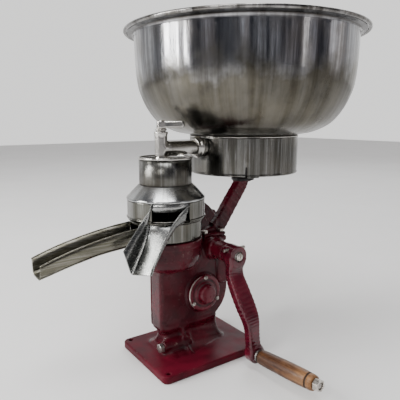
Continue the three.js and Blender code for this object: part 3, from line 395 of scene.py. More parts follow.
def finish_mesh(name, verts, faces, mats, body, replaces=(), sharp=None, edge=None, hollow=None, mat_index=None):
    me = bpy.data.meshes.new(name)
    me.from_pydata([tuple(v) for v in (np.asarray(verts, dtype=float) * MM)], [], [tuple(int(i) for i in f) for f in faces])
    me.update()
    if not isinstance(mats, (list, tuple)):
        mats = [mats]
    for m in mats:
        me.materials.append(m)
    if mat_index is not None:
        me.polygons.foreach_set("material_index", np.asarray(mat_index, dtype=np.int32))
    me.polygons.foreach_set("use_smooth", np.ones(len(me.polygons), dtype=bool))
    for nm, val in (("edge", edge), ("hollow", hollow)):
        if val is not None:
            a = me.attributes.new(nm, "FLOAT", "POINT")
            a.data.foreach_set("value", np.asarray(val, dtype=np.float32))
    if sharp:
        bm = bmesh.new()
        bm.from_mesh(me)
        for e in bm.edges:
            if len(e.link_faces) == 2 and e.calc_face_angle(0) > math.radians(sharp):
                e.smooth = False
        bm.to_mesh(me)
        bm.free()
    o = bpy.data.objects.new(name, me)
    COLL.objects.link(o)
    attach(o, body)
    if replaces:
        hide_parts(*replaces)
    return o


def spline(points, k):
    """Catmull-Rom through rows of numbers, k steps a span."""
    P = np.asarray(points, dtype=float)
    out = []
    for i in range(len(P) - 1):
        p0, p1, p2, p3 = P[max(i - 1, 0)], P[i], P[i + 1], P[min(i + 2, len(P) - 1)]
        for j in range(k):
            t = j / k
            out.append(0.5 * (2 * p1 + (p2 - p0) * t + (2 * p0 - 5 * p1 + 4 * p2 - p3) * t * t + (3 * p1 - 3 * p2 + p3 - p0) * t ** 3))
    out.append(P[-1])
    return np.array(out)


def rounded(points, r, k=4, closed=True):
    """The polyline with each corner cut back by r (a number or one per corner) and curved."""
    P = [np.array(p, dtype=float) for p in points]
    n = len(P)
    out = []
    for i in range(n):
        if not closed and i in (0, n - 1):
            out.append(P[i])
            continue
        a, b, c = P[i - 1], P[i], P[(i + 1) % n]
        rr = r[i] if isinstance(r, (list, tuple)) else r
        la, lc = np.linalg.norm(a - b), np.linalg.norm(c - b)
        d = min(rr, 0.45 * la, 0.45 * lc)
        if d < 1e-4:
            out.append(b)
            continue
        s, e = b + (a - b) / la * d, b + (c - b) / lc * d
        for j in range(k + 1):
            t = j / k
            out.append((1 - t) ** 2 * s + 2 * t * (1 - t) * b + t * t * e)
    return out


def axis_frame(a, b):
    a, b = Vector(a), Vector(b)
    z = (b - a).normalized()
    x = z.orthogonal().normalized()
    return np.array(a), np.array(x), np.array(z.cross(x)), np.array(z)


def lathe(name, prof, mats, body, replaces=(), a=(0, 0, 0), b=(0, 0, 1), n=96, sharp=None, hollow=None, closed=True):
    """A closed profile of (radius, height) turned about the line from a towards b."""
    o, x, y, z = axis_frame(a, b)
    prof = [(max(p[0], 0.0), p[1]) for p in prof]
    m = len(prof)
    verts, idx = [], {}
    for j, (r, h) in enumerate(prof):
        if r < 1e-4:
            idx[j] = [len(verts)] * n
            verts.append(o + z * h)
        else:
            idx[j] = list(range(len(verts), len(verts) + n))
            for k in range(n):
                t = 2 * math.pi * k / n
                verts.append(o + z * h + (x * math.cos(t) + y * math.sin(t)) * r)
    faces = []
    for j in range(m if closed else m - 1):
        A, C = idx[j], idx[(j + 1) % m]
        for k in range(n):
            q = [A[k], A[(k + 1) % n], C[(k + 1) % n], C[k]]
            q2 = []
            for v in q:
                if v not in q2:
                    q2.append(v)
            if len(q2) >= 3:
                faces.append(q2)
    obj = finish_mesh(name, verts, faces, mats, body, replaces, sharp)
    bm = bmesh.new()
    bm.from_mesh(obj.data)
    bmesh.ops.recalc_face_normals(bm, faces=bm.faces)
    bm.to_mesh(obj.data)
    bm.free()
    if hollow is not None:
        at = obj.data.attributes.new("hollow", "FLOAT", "POINT")
        co = np.zeros(len(obj.data.vertices) * 3, dtype=np.float32)
        obj.data.vertices.foreach_get("co", co)
        co = co.reshape(-1, 3) / MM - o
        h = co @ z
        r = np.linalg.norm(co - np.outer(h, z), axis=1)
        at.data.foreach_set("value", np.array([hollow(rr, hh) for rr, hh in zip(r, h)], dtype=np.float32))
    return obj


def grid_mesh(name, P, mats, body, replaces=(), closed_u=False, drop=None, thick=1.0, sharp=None, offset=-1.0, bevel=0.0):
    """A sheet through the points P[u][v], given a thickness; cells named by drop(u, v) are left out."""
    P = np.asarray(P, dtype=float)
    nu, nv = P.shape[:2]
    faces = []
    for i in range(nu if closed_u else nu - 1):
        for j in range(nv - 1):
            if drop and drop(i, j):
                continue
            a, b = i * nv + j, ((i + 1) % nu) * nv + j
            faces.append((a, b, b + 1, a + 1))
    verts = P.reshape(-1, 3)
    used = sorted({v for f in faces for v in f})
    remap = {v: k for k, v in enumerate(used)}
    obj = finish_mesh(name, verts[used], [[remap[v] for v in f] for f in faces], mats, body, replaces)
    if thick:
        s = obj.modifiers.new("thickness", "SOLIDIFY")
        s.thickness = thick * MM
        s.offset = offset
        s.use_even_offset = False
    if bevel:
        bv = obj.modifiers.new("soft_edges", "BEVEL")
        bv.width = bevel * MM
        bv.segments = 2
        bv.limit_method = "ANGLE"
        bv.angle_limit = math.radians(50)
    return obj


def tube(name, path, r, mats, body, n=12, closed=False, replaces=()):
    """A round wire along points, with rounded ends."""
    P = np.asarray(path, dtype=float)
    m = len(P)
    T = np.gradient(P, axis=0) if not closed else (np.roll(P, -1, 0) - np.roll(P, 1, 0))
    T /= np.linalg.norm(T, axis=1)[:, None]
    ref = np.array([0.0, 0.0, 1.0]) if abs(T[0][2]) < 0.9 else np.array([1.0, 0.0, 0.0])
    x = np.cross(T[0], ref)
    x /= np.linalg.norm(x)
    verts, faces = [], []
    rings = []
    for i in range(m):
        x = x - T[i] * np.dot(x, T[i])
        x /= np.linalg.norm(x)
        y = np.cross(T[i], x)
        rr = r[i] if hasattr(r, "__len__") else r
        rings.append([P[i] + (x * math.cos(2 * math.pi * k / n) + y * math.sin(2 * math.pi * k / n)) * rr for k in range(n)])
    for q in rings:
        verts += q
    for i in range(m if closed else m - 1):
        A, C = i * n, ((i + 1) % m) * n
        for k in range(n):
            faces.append((A + k, A + (k + 1) % n, C + (k + 1) % n, C + k))
    if not closed:
        for i, s in ((0, -1), (m - 1, 1)):
            rr = r[i] if hasattr(r, "__len__") else r
            c = len(verts)
            verts.append(P[i] + T[i] * s * rr * 0.6)
            A = i * n
            for k in range(n):
                f = (A + k, A + (k + 1) % n, c)
                faces.append(f if s > 0 else f[::-1])
    return finish_mesh(name, verts, faces, mats, body, replaces)


# ---------------------------------------------------------------- rounded solids by distance field
def smin(a, b, k):
    h = np.clip(0.5 + 0.5 * (b - a) / k, 0, 1)
    return b * (1 - h) + a * h - k * h * (1 - h)


def smax(a, b, k):
    return -smin(-a, -b, k)


def rbox2(dx, dy, r):
    """Distance to a 2-D box from |offset| - half size, with corner radius r."""
    qx, qy = dx + r, dy + r
    return np.sqrt(np.maximum(qx, 0) ** 2 + np.maximum(qy, 0) ** 2) + np.minimum(np.maximum(qx, qy), 0) - r


def sd_box(X, Y, Z, x0, x1, y0, y1, z0, z1, r=0.0):
    qx, qy, qz = abs(X - (x0 + x1) / 2) - (x1 - x0) / 2 + r, abs(Y - (y0 + y1) / 2) - (y1 - y0) / 2 + r, abs(Z - (z0 + z1) / 2) - (z1 - z0) / 2 + r
    return np.sqrt(np.maximum(qx, 0) ** 2 + np.maximum(qy, 0) ** 2 + np.maximum(qz, 0) ** 2) + np.minimum(np.maximum(np.maximum(qx, qy), qz), 0) - r


def sd_cyl(U, V, W, cu, cv, rad, w0, w1, r=0.0):
    """Cylinder about the W direction."""
    return rbox2(np.sqrt((U - cu) ** 2 + (V - cv) ** 2) - rad, abs(W - (w0 + w1) / 2) - (w1 - w0) / 2, r)


def sd_poly(U, V, poly):
    """Signed distance to a closed polygon in two dimensions."""
    P = np.asarray(poly, dtype=float)
    d = np.full(U.shape, 1e9)
    s = np.ones(U.shape)
    n = len(P)
    for i in range(n):
        a, b = P[i], P[i - 1]
        ex, ey = b[0] - a[0], b[1] - a[1]
        wx, wy = U - a[0], V - a[1]
        t = np.clip((wx * ex + wy * ey) / (ex * ex + ey * ey), 0, 1)
        d = np.minimum(d, (wx - ex * t) ** 2 + (wy - ey * t) ** 2)
        c1, c2, c3 = V >= a[1], V < b[1], ex * wy > ey * wx
        s = np.where((c1 & c2 & c3) | (~c1 & ~c2 & ~c3), -s, s)
    return s * np.sqrt(d)


def sd_prism(d2, W, w0, w1, r):
    return rbox2(d2, abs(W - (w0 + w1) / 2) - (w1 - w0) / 2, r)


def blur(D, k):
    for ax in range(3):
        acc = np.zeros_like(D)
        for s in range(-k, k + 1):
            acc += np.roll(D, s, axis=ax)
        D = acc / (2 * k + 1)
    return D


def sdf_mesh(name, f, lo, hi, h, mats, body, replaces=(), place=None, smooth=0, mat_fn=None, edge_wear_and_highlight_gain=1.0):
    """Surface nets over the distance field f(X, Y, Z) inside a box, step h. Stores edge and hollow masks."""
    lo, hi = np.array(lo, float) - 2.5 * h, np.array(hi, float) + 2.5 * h
    n = [int(math.ceil((hi[k] - lo[k]) / h)) + 1 for k in range(3)]
    X, Y, Z = np.meshgrid(*[lo[k] + h * np.arange(n[k]) for k in range(3)], indexing="ij")
    D = f(X, Y, Z).astype(np.float32)
    if smooth:
        D = blur(D, smooth)
    S = D < 0
    acc = np.zeros((n[0] - 1, n[1] - 1, n[2] - 1, 3), dtype=np.float32)
    cnt = np.zeros(acc.shape[:3], dtype=np.float32)
    crossings = []
    for ax in range(3):
        a = [slice(None)] * 3
        b = [slice(None)] * 3
        a[ax], b[ax] = slice(0, -1), slice(1, None)
        d0, d1 = D[tuple(a)], D[tuple(b)]
        mask = (d0 < 0) != (d1 < 0)
        t = np.where(mask, d0 / np.where(d0 == d1, 1, d0 - d1), 0)
        o1, o2 = [k for k in range(3) if k != ax]
        crossings.append((ax, mask, d0 < 0, o1, o2))
        I = np.argwhere(mask)
        tv = t[mask]
        pos = I.astype(np.float32)
        pos[:, ax] += tv
        for s1 in (0, -1):
            for s2 in (0, -1):
                C = I.copy()
                C[:, o1] += s1
                C[:, o2] += s2
                ok = (C >= 0).all(1) & (C < np.array(cnt.shape)).all(1)
                np.add.at(acc, tuple(C[ok].T), pos[ok])
                np.add.at(cnt, tuple(C[ok].T), 1)
    act = cnt > 0
    ids = np.full(cnt.shape, -1, dtype=np.int64)
    ids[act] = np.arange(int(act.sum()))
    V = acc[act] / cnt[act][:, None]
    faces = []
    for ax, mask, neg, o1, o2 in crossings:
        I = np.argwhere(mask)
        ng = neg[mask]
        ok = (I[:, o1] > 0) & (I[:, o2] > 0) & (I[:, o1] < cnt.shape[o1]) & (I[:, o2] < cnt.shape[o2])
        I, ng = I[ok], ng[ok]
        def cid(s1, s2):
            C = I.copy()
            C[:, o1] += s1
            C[:, o2] += s2
            return ids[tuple(C.T)]
        q = np.stack([cid(-1, -1), cid(0, -1), cid(0, 0), cid(-1, 0)], axis=1)
        flip = ng if ax != 1 else ~ng
        q[~flip] = q[~flip][:, ::-1]
        faces.append(q)
    faces = np.concatenate(faces)
    wide = blur(D, 3)
    cell = np.argwhere(act)
    dif = (wide - blur(D, 1))[tuple(cell.T)] / h
    # convex-edge mask, coloured pale in the enamel: partly edge wear, partly painted highlight
    edge = np.clip((dif - 0.42) / 0.35, 0, 1) * edge_wear_and_highlight_gain
    hollow = np.clip((-dif - 0.10) / 0.4, 0, 1)
    V = lo + V * h
    if place is not None:
        V = place(V)
    mi = mat_fn(V, faces) if mat_fn else None
    return finish_mesh(name, V, faces, mats, body, replaces, edge=edge, hollow=hollow, mat_index=mi)


def local(a, b, twist=0.0):
    """Places points of a local frame whose +Z runs from a towards b."""
    o, x, y, z = axis_frame(a, b)
    c, s = math.cos(twist), math.sin(twist)
    x2, y2 = x * c + y * s, -x * s + y * c
    return lambda V: o + np.outer(V[:, 0], x2) + np.outer(V[:, 1], y2) + np.outer(V[:, 2], z)


# ---------------------------------------------------------------- the casting
CY, CZ = 71.0, 159.42   # crankshaft
WY, WZ = 52.0, 92.0     # worm wheel shaft
HOUSING = [
    (-21, 50), (-20, 45.5), (-15.5, 42), (20, 42), (30, 43.6), (44, 43), (60, 43.6), (73, 47.6), (84, 54.5), (92, 63.5), (97, 73), (100, 84), (100.8, 92),
    (100.6, 152), (98, 162), (92, 168), (84, 172.6), (58, 172.6), (52, 166), (44, 150), (36, 140), (-16, 140), (-20, 135), (-21, 128)]


def casting(X, Y, Z):
    y2, z2 = Y[0], Z[0]
    plate = sd_prism(rbox2(abs(X - 8.5) - 66.5, abs(Y - 37.25) - 86.25, 9), Z, 0, 11.3, 2.2)
    t = np.clip((Z - 10.5) / 36.0, 0, 1)
    w = (1 - t) ** 2.7
    back = np.clip((Y - 18) / 60, 0, 1)
    k = 1 - 0.48 * back * (1 - t)
    x0, x1 = (-13 - 21 * w) * k, (14 + 26 * w) * k
    y0, y1 = -13 - 4.5 * w, 84 + 8 * w
    foot = rbox2(abs(X - (x0 + x1) / 2) - (x1 - x0) / 2, abs(Y - (y0 + y1) / 2) - (y1 - y0) / 2, 9)
    foot = smax(foot * 0.75, abs(Z - 28) - 19, 2)
    hd = sd_poly(y2, z2, HOUSING)
    housing = sd_prism(np.broadcast_to(hd, X.shape), X, -13, 16.5, 5.0)
    R = np.sqrt(X * X + Y * Y)
    r2, zz = R[:, :, 0], None
    cup_out = [(0, 137), (33, 137.5), (41, 141.2), (46.5, 147), (49.6, 154), (50.7, 160), (50.8, 174.6), (51.8, 175.6), (51.8, 184), (0, 184), (-5, 184), (-5, 137)]
    cup = sd_poly(R, Z, cup_out) - 0.0
    boss1 = sd_cyl(Y, Z, X, CY, CZ, 14, 14.5, 53.6, 1.6)
    boss2 = sd_cyl(Y, Z, X, CY, CZ, 17, 14.5, 30, 2.4)
    pad = sd_cyl(Y, Z, X, WY, WZ, 30, 15.5, 18.5, 1.2)
    column = sd_prism(rbox2(abs(Y - 88) - 10, abs(Z - 129) - 29, 8), X, 12, 21.2, 3.0)
    drain = sd_cyl(X, Z, Y, 19, 23, 8, -20, 26, 1.2)
    rib = smax(abs(Y - 15.5) - 2.2, sd_poly(X, Z, [(6, 12), (41, 11), (25, 23), (17, 44), (6, 44)]), 1.6)
    armpad = sd_box(X, Y, Z, -13, 16.5, 58, 98, 166, 174, 2)
    d = smin(housing, foot, 9)
    d = smin(d, cup, 7)
    d = smin(d, plate, 7)
    d = smin(d, rib, 5)
    d = smin(d, drain, 5)
    d = smin(d, smin(boss1, boss2, 2.5), 6)
    d = smin(d, column, 3.5)
    d = smin(d, pad, 1.5)
    d = smin(d, armpad, 3)
    # bores, bowl well, wheel chamber, worm tunnel and sump
    well = sd_poly(R, Z, [(-3, 147), (34, 147), (40, 150), (46.4, 158), (46.4, 200), (-3, 200)])
    d = smax(d, -well, 1.0)
    for c in (
        sd_cyl(X, Y, Z, 0, 0, 13.2, 124, 152), sd_cyl(X, Y, Z, 0, 0, 8.6, 110, 130), sd_cyl(X, Y, Z, 0, 0, 8.4, 26, 60),
        sd_box(X, Y, Z, -20, 12, -13, 18, 52, 118), sd_cyl(Y, Z, X, WY, WZ, 45.6, -20, 12), sd_box(X, Y, Z, -10, 10, 16, 76, 18, 60), sd_box(X, Y, Z, -10, 22, 15.5, 24, 18, 28),
        sd_cyl(Y, Z, X, WY, WZ, 22.3, 8, 24), sd_cyl(Y, Z, X, CY, CZ, 10.4, -20, 60), sd_cyl(X, Z, Y, 19, 23, 4.2, -30, 18),
        sd_box(X, Y, Z, -26, 30, 20, 82, -5, 8, 4),
    ):
        d = smax(d, -c, 0.7)
    for hx, hy in ((66.5, -38.7), (66.5, 113.2), (-49.5, 113.2), (-49.5, -38.7)):
        d = smax(d, -sd_cyl(X, Y, Z, hx, hy, 3.2, -5, 20), 0.8)
    for hy in (62, 92):
        d = smax(d, -sd_cyl(X, Y, Z, 8, hy, 3.2, 160, 190), 0.5)
    for deg in (90, 210, 330):
        d = smax(d, -sd_cyl(Y, Z, X, WY + 24.6 * math.cos(math.radians(deg)), WZ + 24.6 * math.sin(math.radians(deg)), 2.2, 10, 30), 0.4)
    return d


def casting_mats(V, faces):
    z = V[faces[:, 0], 2]
    return (z < 12.2).astype(int)


sdf_mesh("frame_casting", casting, (-58, -49, 0), (75, 123.5, 184), 1.15, [M_ENAMEL, M_ENAMEL_BASE], "stand", ["main_frame"], mat_fn=casting_mats, edge_wear_and_highlight_gain=0.8)

# ---------------------------------------------------------------- gear case, its lid, bearing cover
SIDE_PLATE = [
    (-20, 50), (-19, 45.8), (-15, 42.5), (30, 44), (44, 43.4), (60, 44), (73, 48), (84, 55), (92, 64), (97, 73.5), (99.6, 84), (100.3, 92), (100.2, 152),
    (97, 162), (91, 167), (84, 170), (60, 170), (55, 163), (49.5, 148), (36, 136.2), (-16, 136.5), (-19.5, 133), (-20, 127)]
LUGS = [(CY + 67.2 * math.cos(math.radians(a)), CZ + 67.2 * math.sin(math.radians(a))) for a in (75, 165, 345, 30)]


def pear(Y, Z, r, lobe):
    d = np.minimum(np.sqrt((Y - CY) ** 2 + (Z - CZ) ** 2) - r, np.sqrt((Y - WY) ** 2 + (Z - WZ) ** 2) - lobe)
    web = sd_poly(Y, Z, [(WY - lobe, WZ), (WY + lobe, WZ - 2), (WY + lobe + 22, WZ + 24), (WY - lobe - 6, WZ + 24)])
    return smin(d, web, 4)


def gear_case(X, Y, Z):
    y2, z2 = Y[0], Z[0]
    b = lambda d: np.broadcast_to(d, X.shape)
    drum = sd_prism(b(pear(y2, z2, 65, 17.5)), X, -69, -53, 3.0)
    plate = sd_prism(b(sd_poly(y2, z2, SIDE_PLATE)), X, -17.5, -13.3, 1.2)
    s1 = sd_cyl(Y, Z, X, CY, CZ, 15, -55, -16, 0.5)
    s2 = sd_cyl(Y, Z, X, WY, WZ, 14, -55, -16, 0.5)
    web = sd_prism(b(sd_poly(y2, z2, [(WY - 1, WZ + 8), (WY + 7, WZ + 6), (CY + 5, CZ - 8), (CY - 3, CZ - 6)])), X, -54, -16, 1)
    d = smin(smin(s1, s2, 3), web, 5)
    d = smin(d, drum, 6)
    d = smin(d, plate, 5)
    for y, z in LUGS:
        d = smin(d, sd_cyl(Y, Z, X, y, z, 5, -69, -60, 1), 2.5)
    d = smax(d, -sd_prism(b(pear(y2, z2, 62.3, 13)), X, -80, -56.4, 0), 0.6)
    d = smax(d, -sd_cyl(Y, Z, X, CY, CZ, 10.4, -80, 0), 0.4)
    d = smax(d, -sd_cyl(Y, Z, X, WY, WZ, 9.4, -80, 0), 0.4)
    d = smax(d, (-69 - X), 0.3)
    for y, z in LUGS:
        d = smax(d, -sd_cyl(Y, Z, X, y, z, 2.0, -80, -62), 0.3)
    return d


sdf_mesh("gear_housing", gear_case, (-69, -21, 42), (-13, 143, 229.6), 1.2, M_ENAMEL, "stand", ["gear_case"], edge_wear_and_highlight_gain=0.6)


def case_cover(X, Y, Z):
    y2, z2 = Y[0], Z[0]
    b = lambda d: np.broadcast_to(d, X.shape)
    d = sd_prism(b(pear(y2, z2, 65, 17.5)), X, -72.7, -69.3, 1.3)
    for y, z in LUGS:
        d = smin(d, sd_cyl(Y, Z, X, y, z, 5, -72.7, -69.3, 1.0), 2)
    d = smin(d, sd_cyl(Y, Z, X, CY, CZ, 22, -74.7, -70, 1.2), 2)
    d = smax(d, -(abs(np.sqrt((Y - CY) ** 2 + (Z - CZ) ** 2) - 56) - 1.2 + abs(np.minimum(0, X + 72.0)) * 0 + np.maximum(0, X + 72.0) * 3), 0.6)
    for y, z in LUGS:
        d = smax(d, -sd_cyl(Y, Z, X, y, z, 2.1, -80, -60), 0.3)
    return d


sdf_mesh("gear_case_lid", case_cover, (-75, 0, 74), (-69, 142, 230), 1.0, M_ENAMEL_COVER, "stand", ["gear_case_cover"], edge_wear_and_highlight_gain=0.7)


def slotted(name, at, toward, head_r, head_t, shank_r, shank_l, body, node, twist, mats=None, domed=0.5):
    def f(X, Y, Z):
        R = np.sqrt(X * X + Y * Y)
        head = rbox2(R - head_r, abs(Z - head_t / 2) - head_t / 2, min(head_t * 0.45, 1.0))
        head = smax(head, np.sqrt(R * R + (Z - head_t + head_r * 1.9) ** 2) - head_r * 1.9, 0.3)
        d = np.minimum(head, rbox2(R - shank_r, abs(Z + shank_l / 2 - 0.5) - shank_l / 2 - 0.5, 0.3))
        groove = sd_box(X, Y, Z, -head_r - 1, head_r + 1, -head_r * 0.15, head_r * 0.15, head_t * 0.45, head_t + 2)
        return smax(d, -groove, 0.15)
    return sdf_mesh(name, f, (-head_r, -head_r, -shank_l), (head_r, head_r, head_t), max(0.25, head_r * 0.085), mats or M_SCREW, body, [node], place=local(at, toward, twist))


for k, (y, z) in enumerate(LUGS):
    slotted("lid_screw_%d" % (k + 1), (-73.0, y, z), (-200, y, z), 3.6, 2.2, 1.7, 8, "stand", "case_cover_screw_%d" % (k + 1), 0.5 + 1.1 * k)

lathe("bearing_lid", rounded([(9.4, -4), (21.6, -4), (21.6, 0), (28, 0), (28, 4.2), (26.6, 5.4), (22.5, 5.4), (21.5, 4.7), (19, 4.7), (16.4, 5.4), (14.6, 7.4), (13.9, 13.6), (12.0, 15.7), (5, 16), (0, 16), (0, 11), (9.4, 11)],
      [0.3, 0.3, 0.3, 0.5, 1.0, 0.9, 0.6, 0.5, 0.8, 1.2, 1.2, 1.4, 1.6, 0.5, 0, 0, 0.3], 4),
      M_ENAMEL_COVER, "stand", ["bearing_cover"], a=(18.8, WY, WZ), b=(100, WY, WZ), n=96,
      hollow=lambda r, h: 0.9 if (18.6 < r < 22.2 and h > 3) or (13.5 < r < 15.6 and h < 8) else 0.0)
# a bright bare-steel crescent on the cover's rim, laid only on the lit left side: partly a bare rim, partly a painted
# highlight, with the shaded right side left without it
rim_arc = [math.radians(a) for a in np.linspace(96, 232, 40)]
tube("bearing_lid_bright_rim", [(18.8 + 4.0, WY + 27.4 * math.cos(a), WZ + 27.4 * math.sin(a)) for a in rim_arc], [0.25 + 0.95 * math.sin(math.pi * k / 39) ** 0.6 for k in range(40)],
     M_SCREW, "stand", n=12)
for k, deg in enumerate((90, 210, 330)):
    y, z = WY + 24.6 * math.cos(math.radians(deg)), WZ + 24.6 * math.sin(math.radians(deg))
    slotted("lid_fixing_%d" % (k + 1), (24.7, y, z), (200, y, z), 3.1, 2.4, 1.7, 12, "stand", "bearing_cover_screw_%d" % (k + 1), 0.9 + 0.8 * k)


def hexhead(name, at, toward, head_r, head_t, shank_r, shank_l, body, node, twist, mats, bore=0.0, washer=0.0):
    def f(X, Y, Z):
        R = np.sqrt(X * X + Y * Y)
        hexd = np.maximum(np.maximum(abs(X * 0.5 + Y * 0.8660254), abs(X * 0.5 - Y * 0.8660254)), abs(X)) - head_r * 0.8660254
        d = rbox2(hexd, abs(Z - head_t / 2) - head_t / 2, 0.35)
        cone = (R - head_r * 0.93) * 0.5 + (Z - head_t) * 0.866
        d = smax(d, cone, 0.4)
        if washer:
            d = np.minimum(d, rbox2(R - head_r * 1.0, abs(Z - washer / 2) - washer / 2, 0.25))
        if shank_l:
            d = np.minimum(d, rbox2(R - shank_r, abs(Z + shank_l / 2 - 0.5) - shank_l / 2 - 0.5, 0.4))
        if bore:
            d = smax(d, -(R - bore), 0.5)
        return d
    return sdf_mesh(name, f, (-head_r, -head_r, -shank_l), (head_r, head_r, head_t), 0.4, mats, body, [node], place=local(at, toward, twist))


hexhead("foot_drain_plug", (19, -20.3, 23), (19, -200, 23), 7, 6.5, 3.9, 12, "stand", "drain_plug", 0.25, M_STEEL)
hexhead("arm_fixing_1", (8, 62, 179.8), (8, 62, 400), 5.2, 4.6, 3, 13, "stand", "arm_bolt_1", 0.3, M_SCREW)
hexhead("arm_fixing_2", (8, 92, 179.8), (8, 92, 400), 5.2, 4.6, 3, 13, "stand", "arm_bolt_2", 0.1, M_SCREW)

# ---------------------------------------------------------------- crank
PY, PZ = 82.4, 20.4
LEAN = math.atan2(PY - CY, CZ - PZ)
arm_y = lambda z: CY + (CZ - z) * math.tan(LEAN)
ARM = [(71, 152, 24, 15, -1), (71.8, 138, 24, 13.5, -4), (74, 127, 24.5, 14, -4.5), (79.8, 113, 26.5, 15, -3.5), (90.8, 93, 27, 15, -3), (99.5, 78, 24.5, 15, -3), (103, 68, 21.5, 14.5, -3), (103.8, 56, 19, 14, -3), (103.8, 38, 19, 14, -2.5), (103.6, 20.4, 20, 14, -0.5)]


def chain(X, Y, Z, rows, wide, rad=0.34, blend=1.2):
    """A bar through rows of (centre xyz, width, thickness); wide is the direction its width runs in."""
    d = None
    for p, q in zip(rows[:-1], rows[1:]):
        a, b = np.array(p[:3]), np.array(q[:3])
        e = b - a
        L = np.linalg.norm(e)
        e /= L
        w = np.array(wide, float)
        w -= e * np.dot(w, e)
        w /= np.linalg.norm(w)
        t = np.cross(e, w)
        px, py, pz = X - a[0], Y - a[1], Z - a[2]
        s = px * e[0] + py * e[1] + pz * e[2]
        u = np.clip(s / L, 0, 1)
        W, T = p[3] + (q[3] - p[3]) * u, p[4] + (q[4] - p[4]) * u
        r = np.minimum(W, T) * rad
        cw = abs(px * w[0] + py * w[1] + pz * w[2]) - W / 2
        ct = abs(px * t[0] + py * t[1] + pz * t[2]) - T / 2
        g = rbox2(cw, ct, r)
        g = smax(g, abs(s - L / 2) - L / 2 - 0.6, 0.4)
        d = g if d is None else smin(d, g, blend)
    return d


ARM_ROWS = [(x, arm_y(z) + dy, z, w, t) for x, z, w, t, dy in spline(ARM, 3)]


def crank_arm(X, Y, Z):
    arm = chain(X, Y, Z, ARM_ROWS, (0, 1, 0), 0.22, 1.6)
    hub = sd_cyl(Y, Z, X, CY, CZ, 15, 55, 79.4, 1.8)
    eye = sd_cyl(Y, Z, X, PY, PZ, 13.2, 96, 111, 1.8)
    d = smin(arm, hub, 7)
    d = smin(d, eye, 5)
    d = smax(d, -sd_cyl(Y, Z, X, CY, CZ, 7.2, 40, 90), 0.5)
    d = smax(d, -sd_cyl(Y, Z, X, PY, PZ, 4.9, 80, 130), 0.4)
    d = smax(d, -sd_cyl(X, Z, Y, 67, CZ + 8.6, 2.8, 30, 110), 0.3)
    return d


sdf_mesh("crank_lever", crank_arm, (54, 52, 6), (112.5, 97, 175), 0.95, M_ENAMEL_CRANK, "crank", ["crank_arm"], edge_wear_and_highlight_gain=0.9)
lathe("crank_cross_pin", rounded([(0, 0), (2.3, 0), (2.6, 38), (0, 38)], [0, 0.5, 0.5, 0], 3), M_SCREW, "crank", ["crank_taper_pin"], a=(67, 53, CZ + 8.6), b=(67, 200, CZ + 8.6), n=32)
slotted("crank_end_screw", (79.7, CY, CZ), (200, CY, CZ), 5.6, 3.4, 2.3, 8, "crank", "crank_hub_screw", 0.7)

gp = lambda t: tuple(GRIP_A + GRIP_D * t)
ga, gb = tuple(GRIP_A), tuple(GRIP_B)
gl = (GRIP_B - GRIP_A).length
lathe("grip_core", rounded([(0, 0), (8.5, 0), (8.5, 2.6), (4.7, 3.3), (4.6, gl - 1), (3.8, gl), (0, gl)], [0, 0.6, 0.6, 0.5, 0.4, 0.4, 0], 3), M_STEEL, "crank", ["grip_spindle"], a=ga, b=gb, n=48)
lathe("grip_rivet", rounded([(0, 0), (3.0, 0), (4.6, 1.4), (4.6, 15.4), (0, 15.4)], [0, 1.2, 0.8, 0.3, 0], 3), M_STEEL, "crank", (), a=(96.6, PY, PZ), b=(200, PY, PZ), n=48)
lathe("grip_collar", rounded([(5, 3.6), (9.9, 3.6), (9.9, 5.2), (5, 5.2)], 0.4, 3), M_BLACKSTEEL, "crank", ["grip_washer"], a=ga, b=gb, n=48)
grip_prof = list(spline([(9.3, 5.6), (10.3, 8), (10.7, 18), (11.0, 34), (11.3, 58), (11.15, 74), (10.9, 84), (10.6, 88.2)], 4))
grip_prof = [(5, 5.6), (8.6, 5.6)] + [tuple(p) for p in grip_prof] + [(10.1, 88.7), (9.3, 89.2), (9.2, 90.2), (9.8, 90.9), (10.5, 91.5), (10.4, 95.2), (9.7, 98.2), (8.4, 99.2), (5, 99.2)]
lathe("grip_wood", grip_prof, M_WOOD, "grip", ["wooden_grip"], a=ga, b=gb, n=96, hollow=lambda r, h: 1.0 if 88.4 < h < 91.3 else (0.8 if h < 6.3 else 0.0))
hexhead("grip_nut", gp(99.6), gb, 8.0, 8.5, 0, 0, "crank", "grip_end_nut", 0.35, M_SCREW, bore=4.95)

# ---------------------------------------------------------------- supply can, skirt, tap
CANX, CANY = -19.0, 158.0


def sheet_loop(pts, t):
    """A closed profile from an outside line (radius, height) and its offset by t towards the inside."""
    P = np.asarray(pts, dtype=float)
    T = np.gradient(P, axis=0)
    T /= np.linalg.norm(T, axis=1)[:, None]
    nrm = np.stack([-T[:, 1], T[:, 0]], axis=1)
    inner = P + nrm * t
    inner[:, 0] = np.maximum(inner[:, 0], 0)
    return [tuple(p) for p in P] + [tuple(p) for p in inner[::-1]]


can_out = [(0, 297.0), (40, 297.0), (64, 297.0)] + [tuple(p) for p in spline([(68, 297.3), (75, 300.6), (79.8, 306), (84.4, 323)], 3)]
can_out += [(85.4, 325.6), (88.0, 326.9)]
can_out += [tuple(p) for p in spline([(91, 327.7), (112, 332), (136, 344.5), (154, 366.5), (165.5, 392), (169.3, 410), (171.1, 430), (172.1, 452), (172.5, 470)], 6)]
can_out += [tuple(p) for p in spline([(172.7, 474), (174.1, 477), (177.5, 478.4), (182.5, 479.1)], 3)]
lathe("supply_can_shell", sheet_loop(can_out, 1.3), M_CAN, "can", ["supply_can"], a=(CANX, CANY, 0), b=(CANX, CANY, 1), n=192,
      hollow=lambda r, h: 0.9 if (84.6 < r < 90 and h < 329) else (0.5 if h > 476 and r < 175.5 else 0.0))
ring_pts = [(185.4 + 3.0 * math.cos(2 * math.pi * k / 20), 481.3 + 2.85 * math.sin(2 * math.pi * k / 20)) for k in range(20)]
lathe("can_rolled_rim", ring_pts, M_RIM, "can", (), a=(CANX, CANY, 0), b=(CANX, CANY, 1), n=192)

